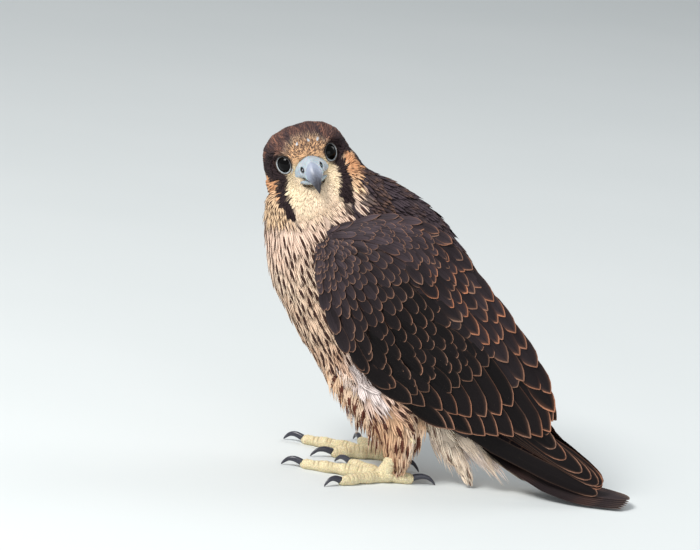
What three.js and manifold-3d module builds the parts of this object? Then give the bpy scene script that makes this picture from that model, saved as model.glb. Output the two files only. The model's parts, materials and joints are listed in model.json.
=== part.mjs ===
// A young peregrine falcon at life size, standing, its head turned over the left shoulder.
// Millimetres, +Z up. The breast faces -Y, the bird's left side is +X and the tail runs towards +Y.
import * as THREE from "three";
import { mergeVertices } from "three/addons/utils/BufferGeometryUtils.js";
import Module from "manifold-3d";

const wasm = await Module();
wasm.setup();

// Driving sizes
const GAP = 0.32; // between pieces that meet
const EYE_RADIUS = 8;
const EYE_OPENING = 5.9;
const HEAD_AT = [8, -76.2, 229.1]; // the point between the eyes
const HEAD_FORWARD = [0.9512, 0.3084, 0.0093]; // where the bill points
const HEAD_UP = [0.1019, -0.3426, 0.9339];
const VANE = 0.75; // thickness of a feather
const FLOOR_BITE = 0.4; // how far a sole reaches under the floor before its flat is cut

const COLOURS = {
  dark_plumage: [0x3a2f2b, 0.75],
  pale_plumage: [0xd9c09a, 0.8],
  head_plumage: [0x6d5443, 0.8],
  cere_skin: [0xa9bcc4, 0.5],
  horn: [0x5f6a78, 0.35],
  eye: [0x140d0a, 0.08],
  foot_skin: [0xc9c48a, 0.6],
  claw: [0x1c1c20, 0.3],
};

// Interpolation
const lerp = (a, b, t) => a + (b - a) * t;
const clamp = (x, low, high) => Math.min(high, Math.max(low, x));
const ease = (t) => t * t * (3 - 2 * t);
const vec = (p) => new THREE.Vector3(...p);

// A smooth value between the rows of a list of equal-length number lists, at t from 0 to 1.
function between(rows, t) {
  const last = rows.length - 1;
  const x = clamp(t, -0.1, 1.1) * last;
  const i = clamp(Math.floor(x), 0, last - 1);
  const f = x - i;
  const row = (k) => rows[clamp(k, 0, last)];
  return rows[i].map((_, c) => {
    const [a, b, d, e] = [row(i - 1)[c], row(i)[c], row(i + 1)[c], row(i + 2)[c]];
    return 0.5 * (2 * b + (d - a) * f + (2 * a - 5 * b + 4 * d - e) * f * f + (3 * b - a - 3 * d + e) * f * f * f);
  });
}

// The same for rows that start with the place at which they hold.
function betweenAt(rows, place) {
  const last = rows.length - 1;
  let i = 0;
  while (i < last - 1 && rows[i + 1][0] < place) i += 1;
  const f = clamp((place - rows[i][0]) / (rows[i + 1][0] - rows[i][0]), -0.2, 1.2);
  return between(rows.map((r) => r.slice(1)), (i + f) / last);
}

// Seeded draws, so that every build is the same
function draws(seed) {
  let state = seed;
  return () => {
    state = (state * 1664525 + 1013904223) % 4294967296;
    return state / 4294967296 - 0.5;
  };
}

// Solids: a closed skin over rings of points, joined and cut with manifold-3d
function skin(rings) {
  const sides = rings[0].length;
  const points = rings.flat();
  const faces = [];
  for (let i = 0; i + 1 < rings.length; i += 1) {
    for (let k = 0; k < sides; k += 1) {
      const [a, b] = [i * sides + k, i * sides + ((k + 1) % sides)];
      const [c, d] = [b + sides, a + sides];
      if (k < sides / 2) faces.push(a, b, c, a, c, d);
      else faces.push(a, b, d, b, c, d);
    }
  }
  [0, rings.length - 1].forEach((i) => {
    const centre = rings[i].reduce((sum, p) => sum.add(p), new THREE.Vector3()).divideScalar(sides);
    points.push(centre);
    for (let k = 0; k < sides; k += 1) {
      const [a, b] = [i * sides + k, i * sides + ((k + 1) % sides)];
      if (i === 0) faces.push(points.length - 1, b, a);
      else faces.push(points.length - 1, a, b);
    }
  });
  return solidFrom(points, faces);
}

function signedVolume(points, faces) {
  let sum = 0;
  for (let i = 0; i < faces.length; i += 3) {
    const [a, b, c] = [points[faces[i]], points[faces[i + 1]], points[faces[i + 2]]];
    sum += a.dot(new THREE.Vector3().crossVectors(b, c));
  }
  return sum;
}

function solidFrom(points, faces) {
  if (signedVolume(points, faces) < 0) {
    for (let i = 0; i < faces.length; i += 3) [faces[i + 1], faces[i + 2]] = [faces[i + 2], faces[i + 1]];
  }
  return new wasm.Manifold(
    new wasm.Mesh({
      numProp: 3,
      vertProperties: new Float32Array(points.flatMap((p) => [p.x, p.y, p.z])),
      triVerts: new Uint32Array(faces),
    }),
  );
}

function solidOf(geometry, matrix = new THREE.Matrix4()) {
  const bare = geometry.clone().applyMatrix4(matrix);
  bare.deleteAttribute("normal");
  bare.deleteAttribute("uv");
  const merged = mergeVertices(bare, 1e-4);
  const place = merged.attributes.position;
  const points = Array.from({ length: place.count }, (_, i) => new THREE.Vector3().fromBufferAttribute(place, i));
  return solidFrom(points, Array.from(merged.index.array));
}

const joined = (solids) => solids.reduce((sum, s) => sum.add(s));

function largest(solid) {
  const bodies = solid.decompose();
  return bodies.reduce((best, b) => (b.volume() > best.volume() ? b : best));
}

// Rings across a body: belly and back points in the middle plane, and the half width between them
function bodyRing(row, sides, grow = 0, place = (p) => p) {
  const [bellyY, bellyZ, backY, backZ, wide, high, power] = row;
  const depth = Math.hypot(backY - bellyY, backZ - bellyZ);
  const [dy, dz] = [(backY - bellyY) / depth, (backZ - bellyZ) / depth];
  return Array.from({ length: sides }, (_, k) => {
    const turn = (2 * Math.PI * (k + 0.5)) / sides;
    const [c, s] = [Math.cos(turn), Math.sin(turn)];
    const share = c > 0 ? high * (1 - c) : high - (1 - high) * c;
    const along = share * depth - c * grow;
    const x = Math.sign(s) * Math.abs(s) ** power * wide + s * grow;
    return place(new THREE.Vector3(x, bellyY + dy * along, bellyZ + dz * along));
  });
}

function bodySkin(rows, rings, sides, { grow = 0, from = 0, to = 1, place } = {}) {
  const places = Array.from({ length: rings + 1 }, (_, i) => lerp(from, to, i / rings));
  if (grow > 0) {
    places.unshift(from - grow / 30);
    places.push(to + grow / 30);
  }
  return skin(places.map((u) => bodyRing(between(rows, u), sides, grow, place)));
}

// A tube along a curve, whose sections stand across it; sizes gives the half width and half height at each place
function tube(points, sizes, { rings = 10, sides = 8, grow = 0, up = [0, 0, 1], ends = 0.05 } = {}) {
  const curve = new THREE.CatmullRomCurve3(points.map(vec));
  return skin(
    Array.from({ length: rings + 1 }, (_, i) => {
      const u = i / rings;
      const at = curve.getPoint(u);
      const ahead = curve.getTangent(u);
      const side = new THREE.Vector3().crossVectors(ahead, vec(up)).normalize();
      const top = new THREE.Vector3().crossVectors(side, ahead).normalize();
      const closing = Math.sqrt(clamp(Math.min(u, 1 - u) / ends, 0.12, 1));
      const [w, h] = sizes(u).map((v) => v * closing + grow);
      at.addScaledVector(ahead, (u < 0.5 ? -grow : grow) * (1 - closing));
      return Array.from({ length: sides }, (_, k) => {
        const turn = (2 * Math.PI * (k + 0.5)) / sides;
        return at
          .clone()
          .addScaledVector(side, w * Math.cos(turn))
          .addScaledVector(top, h * Math.sin(turn));
      });
    }),
  );
}

// A feather: a thin plate along a path, widest beyond its middle, with a rounded tip
const VANE_SHAPE = [
  [0, 0.3],
  [0.3, 0.9],
  [0.72, 1],
  [0.93, 0.7],
  [1, 0.2],
];
function vane(pathAt, width, { thick = VANE, tilt = 0, grow = 0, shape = VANE_SHAPE } = {}) {
  return skin(
    shape.map(([u, share]) => {
      const { at, ahead, out } = pathAt(u);
      const side = new THREE.Vector3().crossVectors(out, ahead).normalize().applyAxisAngle(ahead, tilt);
      const face = new THREE.Vector3().crossVectors(ahead, side).normalize();
      const half = (share * width) / 2 + grow;
      const thin = (thick * (u > 0.95 ? 0.7 : 1)) / 2 + grow;
      at.addScaledVector(ahead, u > 0.95 ? grow : 0);
      return [
        [-1, 1],
        [1, 1],
        [1, -1],
        [-1, -1],
      ].map(([a, b]) => at.clone().addScaledVector(side, a * half).addScaledVector(face, b * thin));
    }),
  );
}

const mirrored = (p, side) => new THREE.Vector3(p.x * side, p.y, p.z);

// Torso and neck in one run: belly y z, back y z, half width, height of the widest place, squareness
const TRUNK = [
  [76, 50, 88, 62, 8, 0.5, 1],
  [58, 41, 94, 74, 17, 0.5, 0.95],
  [24, 37, 92, 91, 26, 0.48, 0.9],
  [-14, 46, 86, 110, 32, 0.46, 0.88],
  [-40, 66, 78, 132, 35.5, 0.46, 0.88],
  [-61.5, 88, 65, 156, 38, 0.46, 0.88],
  [-78, 110, 49, 178, 39, 0.46, 0.88],
  [-92, 132, 29, 199, 39, 0.46, 0.88],
  [-99, 154, 5, 214, 37.5, 0.47, 0.88],
  [-103, 172, -19, 224, 34.5, 0.48, 0.9],
  [-103, 187, -37, 233, 29, 0.49, 0.92],
  [-98, 197, -48, 236, 21, 0.5, 0.95],
];
const NECK_FROM = 7.9 / 11; // where the neck begins on that run
const TRUNK_SIDES = 18;

function torso(grow = 0) {
  return bodySkin(TRUNK, 14, TRUNK_SIDES, { grow, from: 0, to: NECK_FROM });
}

function neck(grow = 0) {
  return bodySkin(TRUNK, 4, TRUNK_SIDES, { grow, from: NECK_FROM + 0.0045, to: 1 });
}

// The head has its own frame: x to the bird's left, y along the bill, z up
const headFrame = (() => {
  const forward = vec(HEAD_FORWARD).normalize();
  const left = new THREE.Vector3().crossVectors(vec(HEAD_UP), forward).normalize();
  const up = new THREE.Vector3().crossVectors(forward, left).normalize();
  return { left, forward, up };
})();

function onHead(p) {
  return vec(HEAD_AT)
    .addScaledVector(headFrame.left, p.x)
    .addScaledVector(headFrame.forward, p.y)
    .addScaledVector(headFrame.up, p.z);
}

const HEAD_MATRIX = new THREE.Matrix4()
  .makeBasis(headFrame.left, headFrame.forward, headFrame.up)
  .setPosition(...HEAD_AT);

// Head rows run from the nape to the bill: throat y z, crown y z, half width, height of the widest place, squareness
const SKULL = [
  [-33, -16, -34, -2, 7, 0.5, 1],
  [-29, -32, -30, 11, 20, 0.42, 0.9],
  [-19, -42, -20, 21.5, 28, 0.42, 0.8],
  [-8, -46, -8, 26, 31.5, 0.46, 0.76],
  [1, -47, 0, 27, 28, 0.48, 0.78],
  [9, -45, 8, 25, 21.8, 0.52, 0.82],
  [15, -39, 14.5, 19.5, 17, 0.56, 0.88],
  [20, -29, 19.5, 12.5, 13.6, 0.6, 0.92],
  [24, -19, 23, 7, 9.6, 0.62, 1],
];

const EYE_AXIS = [0.67, 0.74, 0.03];
const EYE_CENTRE = [14.3, 4.4, 2.4];

function eyeball(side, grow = 0) {
  const ball = new THREE.SphereGeometry(EYE_RADIUS + grow, 14, 10);
  const at = new THREE.Matrix4().makeTranslation(side * EYE_CENTRE[0], EYE_CENTRE[1], EYE_CENTRE[2]);
  return solidOf(ball, HEAD_MATRIX.clone().multiply(at));
}

const eyeAxis = (side) => new THREE.Vector3(side * EYE_AXIS[0], EYE_AXIS[1], EYE_AXIS[2]).normalize();

function socket(side) {
  const middle = new THREE.Vector3(side * EYE_CENTRE[0], EYE_CENTRE[1], EYE_CENTRE[2]);
  const at = new THREE.Matrix4().setPosition(middle.addScaledVector(eyeAxis(side), EYE_RADIUS + 2));
  return solidOf(new THREE.SphereGeometry(EYE_OPENING, 12, 8), HEAD_MATRIX.clone().multiply(at));
}

function eyelids(side) {
  const axis = eyeAxis(side);
  const plane = Math.sqrt(EYE_RADIUS ** 2 - EYE_OPENING ** 2);
  const ring = new THREE.TorusGeometry(EYE_OPENING + 0.75, 1.15, 5, 14);
  const turn = new THREE.Matrix4().makeRotationFromQuaternion(
    new THREE.Quaternion().setFromUnitVectors(new THREE.Vector3(0, 0, 1), axis),
  );
  const at = new THREE.Vector3(side * EYE_CENTRE[0], EYE_CENTRE[1], EYE_CENTRE[2]).addScaledVector(axis, plane);
  return solidOf(ring, HEAD_MATRIX.clone().multiply(turn.setPosition(at)));
}

function headTube(points, sizes, options) {
  const placed = points.map((p) => onHead(vec(p)).toArray());
  return tube(placed, sizes, { up: headFrame.up.toArray(), ...options });
}

function brow(side, grow = 0) {
  return headTube(
    [
      [side * 10.5, 17.5, 8.6],
      [side * 16.6, 13.2, 9.9],
      [side * 22, 6, 9.6],
      [side * 26, -3, 6.6],
    ],
    (u) => [lerp(2.2, 3.4, u), 1.5 + 0.7 * Math.sin(Math.PI * u)],
    { rings: 4, sides: 6, ends: 0.3, grow },
  );
}

function skull(grow = 0) {
  return bodySkin(SKULL, 12, 18, { grow, place: onHead });
}

// The bill: lower y z, culmen y z, half width, height of the widest place, squareness
const BILL = [
  [18, -9.8, 20, 7, 11.6, 0.4, 0.9],
  [23.5, -8.6, 25.6, 6.8, 9.9, 0.42, 0.92],
  [28, -8.2, 30.4, 4.6, 8, 0.42, 0.95],
  [30.4, -9.3, 34.6, 0.9, 6.4, 0.36, 1],
  [31.8, -11, 37.4, -4.2, 5, 0.32, 1],
  [34.8, -11.2, 38.6, -9, 3.5, 0.4, 1],
  [36.2, -14.2, 38.7, -13.4, 2.1, 0.5, 1],
  [37.1, -18.2, 38, -18.2, 0.5, 0.5, 1],
];
const CERE_TO = 2 / 7; // the cere's share of that run
const LOWER_BILL = [
  [14, -16.2, 16, -10.6, 12, 0.6, 1],
  [20, -16.4, 22, -9.9, 9.4, 0.6, 1],
  [26, -15.6, 27, -10, 6.6, 0.6, 1],
  [30, -13.6, 30.4, -11.6, 3.2, 0.6, 1],
];

function cere(grow = 0) {
  return bodySkin(BILL, 3, 12, { grow, from: 0, to: CERE_TO, place: onHead });
}

function nostril(side) {
  const pit = new THREE.SphereGeometry(1.25, 6, 4).scale(0.8, 1.5, 1.1);
  const at = new THREE.Matrix4().makeTranslation(side * 7.6, 26, 1.2);
  return solidOf(pit, HEAD_MATRIX.clone().multiply(at));
}

// The folded wing is a sheet: place along it, lower edge x y z, upper edge x y z, bulge between them
const WING = [
  [-0.03, 38.5, -53, 170, 36.5, -44, 179, 0.5],
  [0.0, 40, -52, 158, 37, -34, 185, 4],
  [0.07, 44, -47, 137, 33, -5, 196, 8],
  [0.17, 46, -31, 108, 26, 27, 192, 10],
  [0.3, 45, -7, 81, 21, 55, 169, 10.5],
  [0.42, 41, 22, 66, 18, 78, 144, 10],
  [0.55, 34.5, 54, 49, 15.5, 101, 114, 7],
  [0.68, 28, 88, 35, 14, 122, 84, 4],
  [0.82, 22, 126, 22.5, 12.5, 146, 53, 2],
  [1.0, 14.5, 174.5, 9.5, 10.5, 177, 21, 0.5],
];

function sheetPoint(s, t, side) {
  const [lx, ly, lz, ux, backY, backZ, bulge] = betweenAt(WING, s);
  const tuck = side < 0 ? TUCK * clamp((1 - s) / 0.4, 0, 1) : 0;
  const [uy, uz] = [backY - tuck * 0.6, backZ - tuck];
  const point = new THREE.Vector3(lerp(lx, ux, t), lerp(ly, uy, t), lerp(lz, uz, t));
  const swell = Math.sin(Math.PI * clamp(t, 0, 1)) ** 0.8 * bulge;
  const across = new THREE.Vector3(ux - lx, uy - ly, uz - lz);
  const out = new THREE.Vector3().crossVectors(across, WING_AHEAD).normalize();
  return point.addScaledVector(out, Math.sign(out.x) * swell);
}
const TUCK = 5; // how much lower the right wing lies along the back
const WING_AHEAD = new THREE.Vector3(-0.13, 0.81, -0.57).normalize();

function wingPoint(s, t, lift, side) {
  const step = 0.01;
  const at = sheetPoint(s, t, side);
  const along = sheetPoint(s + step, t, side).sub(sheetPoint(s - step, t, side));
  const across = sheetPoint(s, clamp(t, 0, 1 - step) + step, side).sub(
    sheetPoint(s, clamp(t, step, 1) - step, side),
  );
  const out = new THREE.Vector3().crossVectors(along, across).normalize();
  if (out.x < 0) out.negate();
  return { at: at.addScaledVector(out, lift), out };
}

function wingPath(from, to, lift, side) {
  const place = (u) => {
    const rise = ease(clamp(u / 0.3, 0, 1)) * 0.75 + clamp((u - 0.3) / 0.7, 0, 1) * 0.25;
    return wingPoint(lerp(from[0], to[0], u), lerp(from[1], to[1], u), lerp(lift[0], lift[1], rise), side);
  };
  return (u) => {
    const { at, out } = place(u);
    const ahead = place(Math.min(1, u + 0.02)).at.sub(place(Math.max(0, u - 0.02)).at).normalize();
    return { at: mirrored(at, side), ahead: mirrored(ahead, side), out: mirrored(out, side) };
  };
}

function wingCore(side, reach, grow = 0) {
  const [places, across] = [9, 5];
  return skin(
    Array.from({ length: places }, (_, i) => {
      const s = lerp(-0.025, reach, i / (places - 1));
      const thick = lerp(11, 3.2, ease(clamp(s / 0.6, 0, 1))) * Math.sqrt(clamp((s + 0.03) / 0.06, 0.1, 1));
      const edge = (t) => Math.sqrt(clamp(Math.min(t, 1 - t) / 0.22, 0.04, 1));
      const shares = Array.from({ length: across }, (_, k) => k / (across - 1));
      const wide = shares.map((t) => t + (t - 0.5) * grow * 0.02);
      const outer = wide.map((t, k) => wingPoint(s, t, grow - 0.9 - (1 - edge(shares[k])) * thick * 0.3, side).at);
      const inner = wide.map((t, k) => wingPoint(s, t, -grow - 0.9 - thick * lerp(0.45, 1, edge(shares[k])), side).at);
      return [...outer, ...inner.reverse()].map((p) => mirrored(p, side));
    }),
  );
}

// Tiers of wing feathers, from the undermost. Roots and tips are places along and across the wing, from the
// feather at the lower edge to the one at the back; lift is how far a feather stands off the wing's sheet.
const TIERS = {
  primaries: {
    count: 7,
    roots: [[0.4, 0.1], [0.42, 0.5]],
    tips: [[0.99, 0.04], [1.0, 0.76], [0.982, 0.62], [0.94, 0.59], [0.893, 0.56], [0.83, 0.6], [0.775, 0.7]],
    widths: [13, 15],
    rootLifts: [-5.4, -2.8],
    tipLifts: [-6.4, -1.5],
    tilt: 0,
  },
  secondaries: {
    count: 9,
    roots: [[0.38, 0.06], [0.52, 0.84]],
    tips: [[0.56, 0.02], [0.6, 0.06], [0.646, 0.15], [0.694, 0.27], [0.745, 0.46], [0.773, 0.66], [0.769, 0.88]],
    widths: [16, 19],
    rootLifts: [-2.6, -2.4],
    tipLifts: [0.9, 0.9],
    tilt: 0.12,
  },
  greater: {
    count: 8,
    roots: [[0.3, 0.06], [0.48, 0.72]],
    tips: [[0.44, 0.04], [0.483, 0.07], [0.525, 0.15], [0.567, 0.2], [0.597, 0.28], [0.63, 0.39], [0.641, 0.56], [0.623, 0.74]],
    widths: [15, 18],
    rootLifts: [-2.8, -2.6],
    tipLifts: [2.6, 2.6],
    tilt: 0.12,
  },
  median: {
    count: 8,
    roots: [[0.2, 0.08], [0.38, 0.76]],
    tips: [[0.35, 0.06], [0.44, 0.16], [0.5, 0.3], [0.54, 0.47], [0.55, 0.64], [0.53, 0.78]],
    widths: [16, 18],
    rootLifts: [-3, -3],
    tipLifts: [3.4, 3.6],
    tilt: 0.11,
  },
  scapulars: {
    count: 6,
    roots: [[0.18, 0.88], [0.56, 0.9]],
    tips: [[0.36, 0.9], [0.46, 0.9], [0.525, 0.93], [0.587, 0.97], [0.651, 0.99], [0.75, 1.02]],
    widths: [20, 17],
    rootLifts: [-2.5, -2.5],
    tipLifts: [5.6, 3.2],
    tilt: 0.05,
  },
};

function tierFeathers(tier, side, random) {
  return Array.from({ length: tier.count }, (_, i) => {
    const u = i / (tier.count - 1);
    const from = between(tier.roots, u);
    const to = between(tier.tips, u).map((v, k) => v + random() * (k ? 0.02 : 0.012));
    const width = lerp(...tier.widths, u) * (1 + random() * 0.06);
    const lifts = [lerp(...tier.rootLifts, u), lerp(...tier.tipLifts, u)];
    return vane(wingPath(from, to, lifts, side), width, { tilt: side * tier.tilt });
  });
}

function wing(side) {
  const random = draws(side > 0 ? 11 : 29);
  const feathers = Object.values(TIERS).flatMap((tier) => tierFeathers(tier, side, random));
  return joined([wingCore(side, 0.56), ...feathers]);
}

// The tail: twelve feathers, the middle pair on top, that reach the floor and lie along it
const TAIL = {
  middle: [[0, 70, 52], [0, 92, 38], [0, 114, 26.5], [0, 136, 17.5], [0, 160, 12.8], [0, 196, 11.2]],
  count: 12,
  spacing: [1.2, 2.3],
  roll: 0.2,
  layer: 0.63,
  thick: 0.5,
  width: 19,
};
const TAIL_LINE = new THREE.CatmullRomCurve3(TAIL.middle.map(vec));

function tailFrame(u) {
  const ahead = TAIL_LINE.getTangent(clamp(u, 0, 1));
  const side = new THREE.Vector3().crossVectors(ahead, new THREE.Vector3(0, 0, 1)).normalize();
  side.applyAxisAngle(ahead, TAIL.roll);
  return { ahead, side, out: new THREE.Vector3().crossVectors(side, ahead).normalize() };
}

function tailPath(place, lifts, from, to) {
  return (v) => {
    const u = lerp(from, to, v);
    const { ahead, side, out } = tailFrame(u);
    const at = TAIL_LINE.getPoint(clamp(u, 0, 1));
    at.addScaledVector(side, place * lerp(...TAIL.spacing, u)).addScaledVector(out, lerp(...lifts, v));
    return { at, ahead, out };
  };
}

const TAIL_SHAPE = [
  [0, 0.6],
  [0.22, 0.8],
  [0.45, 0.95],
  [0.72, 1],
  [0.93, 0.78],
  [1, 0.25],
];
function tail(grow = 0) {
  const middle = (TAIL.count - 1) / 2;
  const feathers = Array.from({ length: TAIL.count }, (_, i) => {
    const place = i - middle;
    const depth = (2 * Math.abs(place) - (place > 0 ? 1 : 0)) * TAIL.layer;
    const tip = 1 - 0.0012 * place * place;
    return vane(tailPath(place, [-depth, -depth], 0.02, 1), TAIL.width, {
      thick: TAIL.thick,
      grow,
      shape: [...TAIL_SHAPE.slice(0, -1), [tip, 0.25]],
    });
  });
  const coverts = [-5.5, 0, 5.5].flatMap((place) => {
    const drop = Math.abs(place) * 0.22;
    return [
      vane(tailPath(place, [0, 2.2 - drop], 0, 0.42), 17, { thick: 0.8, grow }),
      vane(tailPath(place, [-8, -10.4 + drop], 0, 0.5), 17, { thick: 0.8, grow }),
    ];
  });
  const stem = tube(
    [0.0, 0.06, 0.14, 0.2].map((u) => {
      const { out } = tailFrame(u);
      return TAIL_LINE.getPoint(u).addScaledVector(out, -3.9).toArray();
    }),
    (u) => [lerp(12, 10, u), lerp(7.5, 5.4, u)],
    { rings: 4, sides: 10, grow, up: [0, 0.5, 0.9], ends: 0.2 },
  );
  return joined([stem, ...feathers, ...coverts]);
}

// Legs: the feathered thigh, the scaled shank with the ball of the foot, and four toes with claws
const FEET = {
  left: { side: 1, ball: [33, 15], ankle: [32, 33, 38], thigh: [27, 16, 84], turn: -0.02 },
  right: { side: -1, ball: [-30, 2], ankle: [-29, 23, 38], thigh: [-25, 12, 84], turn: 0.2 },
};
// Toe: heading from straight ahead (positive is outwards), length, radius at the root and the end, claw, arch
const TOES = {
  middle: { turn: -0.02, length: 64, root: 5, end: 3.9, claw: 15, arch: 0.9 },
  inner: { turn: -0.66, length: 39, root: 5, end: 4.1, claw: 17, arch: 1.2 },
  outer: { turn: 0.84, length: 42, root: 4.7, end: 3.7, claw: 14, arch: 0.9 },
  hind: { turn: Math.PI + 0.35, length: 23, root: 4.8, end: 4.1, claw: 18, arch: 0.8 },
};

function toeHeading(foot, toe) {
  const turn = foot.side * (toe.turn + foot.turn);
  return new THREE.Vector3(Math.sin(turn), -Math.cos(turn), 0);
}

function toeLine(foot, toe) {
  const ahead = toeHeading(foot, toe);
  const start = new THREE.Vector3(foot.ball[0], foot.ball[1], 0);
  return [0, 0.3, 0.65, 1].map((u) => {
    const height = 0.9 * lerp(toe.root, toe.end, u) - FLOOR_BITE + Math.sin(Math.PI * u) ** 2 * toe.arch;
    return start.clone().setZ(height).addScaledVector(ahead, u * toe.length).toArray();
  });
}

function toeSizes(toe) {
  return (u) => {
    const pads = 1 + 0.09 * Math.cos(u * toe.length * 0.42);
    const r = lerp(toe.root, toe.end, u) * pads;
    return [r * 0.95, r];
  };
}

function toeSolid(foot, toe, grow = 0) {
  return tube(toeLine(foot, toe), toeSizes(toe), { rings: 6, sides: 7, grow, ends: 0.1 });
}

function clawSolid(foot, toe) {
  const ahead = toeHeading(foot, toe);
  const end = vec(toeLine(foot, toe)[3]);
  const reach = toe.claw;
  const points = [
    [-2.5, 0.6],
    [0.22 * reach, 1.5],
    [0.55 * reach, 0.6],
    [0.8 * reach, -end.z * 0.45],
    [0.9 * reach, -end.z * 0.9],
  ].map(([along, rise]) => end.clone().addScaledVector(ahead, along).add(new THREE.Vector3(0, 0, rise)).toArray());
  const sizes = (u) => [lerp(1.9, 0.35, u ** 1.3), lerp(2.3, 0.35, u ** 1.2)];
  return tube(points, sizes, { rings: 5, sides: 6, ends: 0.05 });
}

function shankSolid(foot, grow = 0) {
  const [x, y] = foot.ball;
  const ball = tube(
    [
      [x, y - 7, 4.8],
      [x, y, 4.8],
      [x, y + 7, 4.8],
    ],
    () => [6.4, 5.8],
    { rings: 4, sides: 8, grow, ends: 0.45 },
  );
  const shank = tube(
    [[x, y + 1, 6], [lerp(x, foot.ankle[0], 0.4), lerp(y, foot.ankle[1], 0.35), 20], foot.ankle],
    (u) => [lerp(4.6, 4.2, u), lerp(5, 4.8, u)],
    { rings: 3, sides: 8, grow, up: [0, 1, 0], ends: 0.05 },
  );
  return ball.add(shank);
}

function thighSolid(foot, grow = 0) {
  const [x, y, z] = foot.thigh;
  const [bx, by] = foot.ball;
  return tube(
    [
      [x, y - 4, z],
      [lerp(x, bx, 0.3), y - 2, z * 0.74],
      [lerp(x, bx, 0.7), lerp(y, by + 12, 0.5), z * 0.45],
      [bx, by + 12, 9],
    ],
    (u) => [lerp(17, 7, u), lerp(32, 9, u ** 0.9)],
    { rings: 6, sides: 12, grow, up: [0, 1, 0], ends: 0.1 },
  );
}

const FLOOR = solidOf(new THREE.BoxGeometry(600, 600, 20), new THREE.Matrix4().makeTranslation(0, 60, -10));

// Long feathers under the tail hang in a pointed tuft behind the legs
function ventTuft(grow = 0) {
  return tube(
    [
      [8, 42, 50],
      [11, 54, 36],
      [13, 68, 19],
      [14, 79, 4],
    ],
    (u) => [lerp(11, 2, u), lerp(17, 2.4, u ** 0.8)],
    { rings: 5, sides: 8, grow, up: [0, 1, 0], ends: 0.1 },
  );
}

// Assembly: each piece is cut clear of those it grows from
const falcon = new THREE.Group();

function add(name, solid, colour) {
  const mesh = largest(solid).getMesh();
  const count = mesh.vertProperties.length / mesh.numProp;
  const positions = new Float32Array(count * 3);
  for (let i = 0; i < count; i += 1) {
    positions.set(mesh.vertProperties.subarray(i * mesh.numProp, i * mesh.numProp + 3), i * 3);
  }
  const geometry = new THREE.BufferGeometry()
    .setAttribute("position", new THREE.BufferAttribute(positions, 3))
    .setIndex(new THREE.BufferAttribute(mesh.triVerts, 1));
  geometry.computeVertexNormals();
  const [hex, roughness] = COLOURS[colour];
  const piece = new THREE.Mesh(geometry, new THREE.MeshStandardMaterial({ color: hex, roughness, metalness: 0 }));
  piece.name = name;
  falcon.add(piece);
}

const grownTorso = torso(GAP);
const grownSkull = joined([skull(GAP), brow(1, 3 * GAP), brow(-1, 3 * GAP)]);
const eyes = [1, -1].map((side) => eyeball(side, GAP));
const face = joined([skull(), brow(1), brow(-1), eyelids(1), eyelids(-1)]);
const grownBill = joined([cere(GAP), bodySkin(LOWER_BILL, 4, 12, { grow: GAP, place: onHead })]);

add("torso", torso(), "pale_plumage");
add("neck", neck().subtract(grownSkull).subtract(grownBill), "pale_plumage");
const openings = joined([...eyes, socket(1), socket(-1), grownBill]);
add("head", face.subtract(openings), "head_plumage");
add("left_eye", eyeball(1), "eye");
add("right_eye", eyeball(-1), "eye");
add("cere", cere().subtract(nostril(1)).subtract(nostril(-1)), "cere_skin");
add("upper_bill", bodySkin(BILL, 9, 12, { from: CERE_TO + 0.008, to: 1, place: onHead }), "horn");
add("lower_bill", bodySkin(LOWER_BILL, 4, 12, { place: onHead }), "horn");

const cutForWing = joined([grownTorso, neck(GAP), grownSkull]);
const grownThighs = joined(Object.values(FEET).map((foot) => thighSolid(foot, GAP)));
const grownTail = tail(GAP);
const clearOfWings = joined([cutForWing, grownThighs, grownTail]);
add("left_wing", wing(1).subtract(clearOfWings), "dark_plumage");
add("right_wing", wing(-1).subtract(clearOfWings), "dark_plumage");
add("tail", tail().subtract(joined([grownTorso, grownThighs, FLOOR])), "dark_plumage");
add("vent_tuft", ventTuft().subtract(joined([grownTorso, grownTail, grownThighs])), "pale_plumage");

for (const [name, foot] of Object.entries(FEET)) {
  add(`${name}_thigh`, thighSolid(foot).subtract(grownTorso), "pale_plumage");
  const shank = shankSolid(foot);
  add(`${name}_shank`, shank.subtract(thighSolid(foot, GAP)).subtract(FLOOR), "foot_skin");
  const others = [shankSolid(foot, GAP), thighSolid(foot, GAP)];
  for (const [label, toe] of Object.entries(TOES)) {
    add(`${name}_${label}_toe`, toeSolid(foot, toe).subtract(joined(others)).subtract(FLOOR), "foot_skin");
    others.push(toeSolid(foot, toe, GAP));
    const claw = clawSolid(foot, toe).subtract(toeSolid(foot, toe, GAP)).subtract(FLOOR);
    add(`${name}_${label}_claw`, claw, "claw");
  }
}

// The origin is on the floor, under the middle of the whole bird
const box = new THREE.Box3().setFromObject(falcon);
const centre = box.getCenter(new THREE.Vector3());
falcon.children.forEach((piece) => piece.geometry.translate(-centre.x, -centre.y, -box.min.z));

export default falcon;
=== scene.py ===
import json
import math

import bpy
import numpy as np
from mathutils import Matrix, Vector
from mathutils.bvhtree import BVHTree

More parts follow.
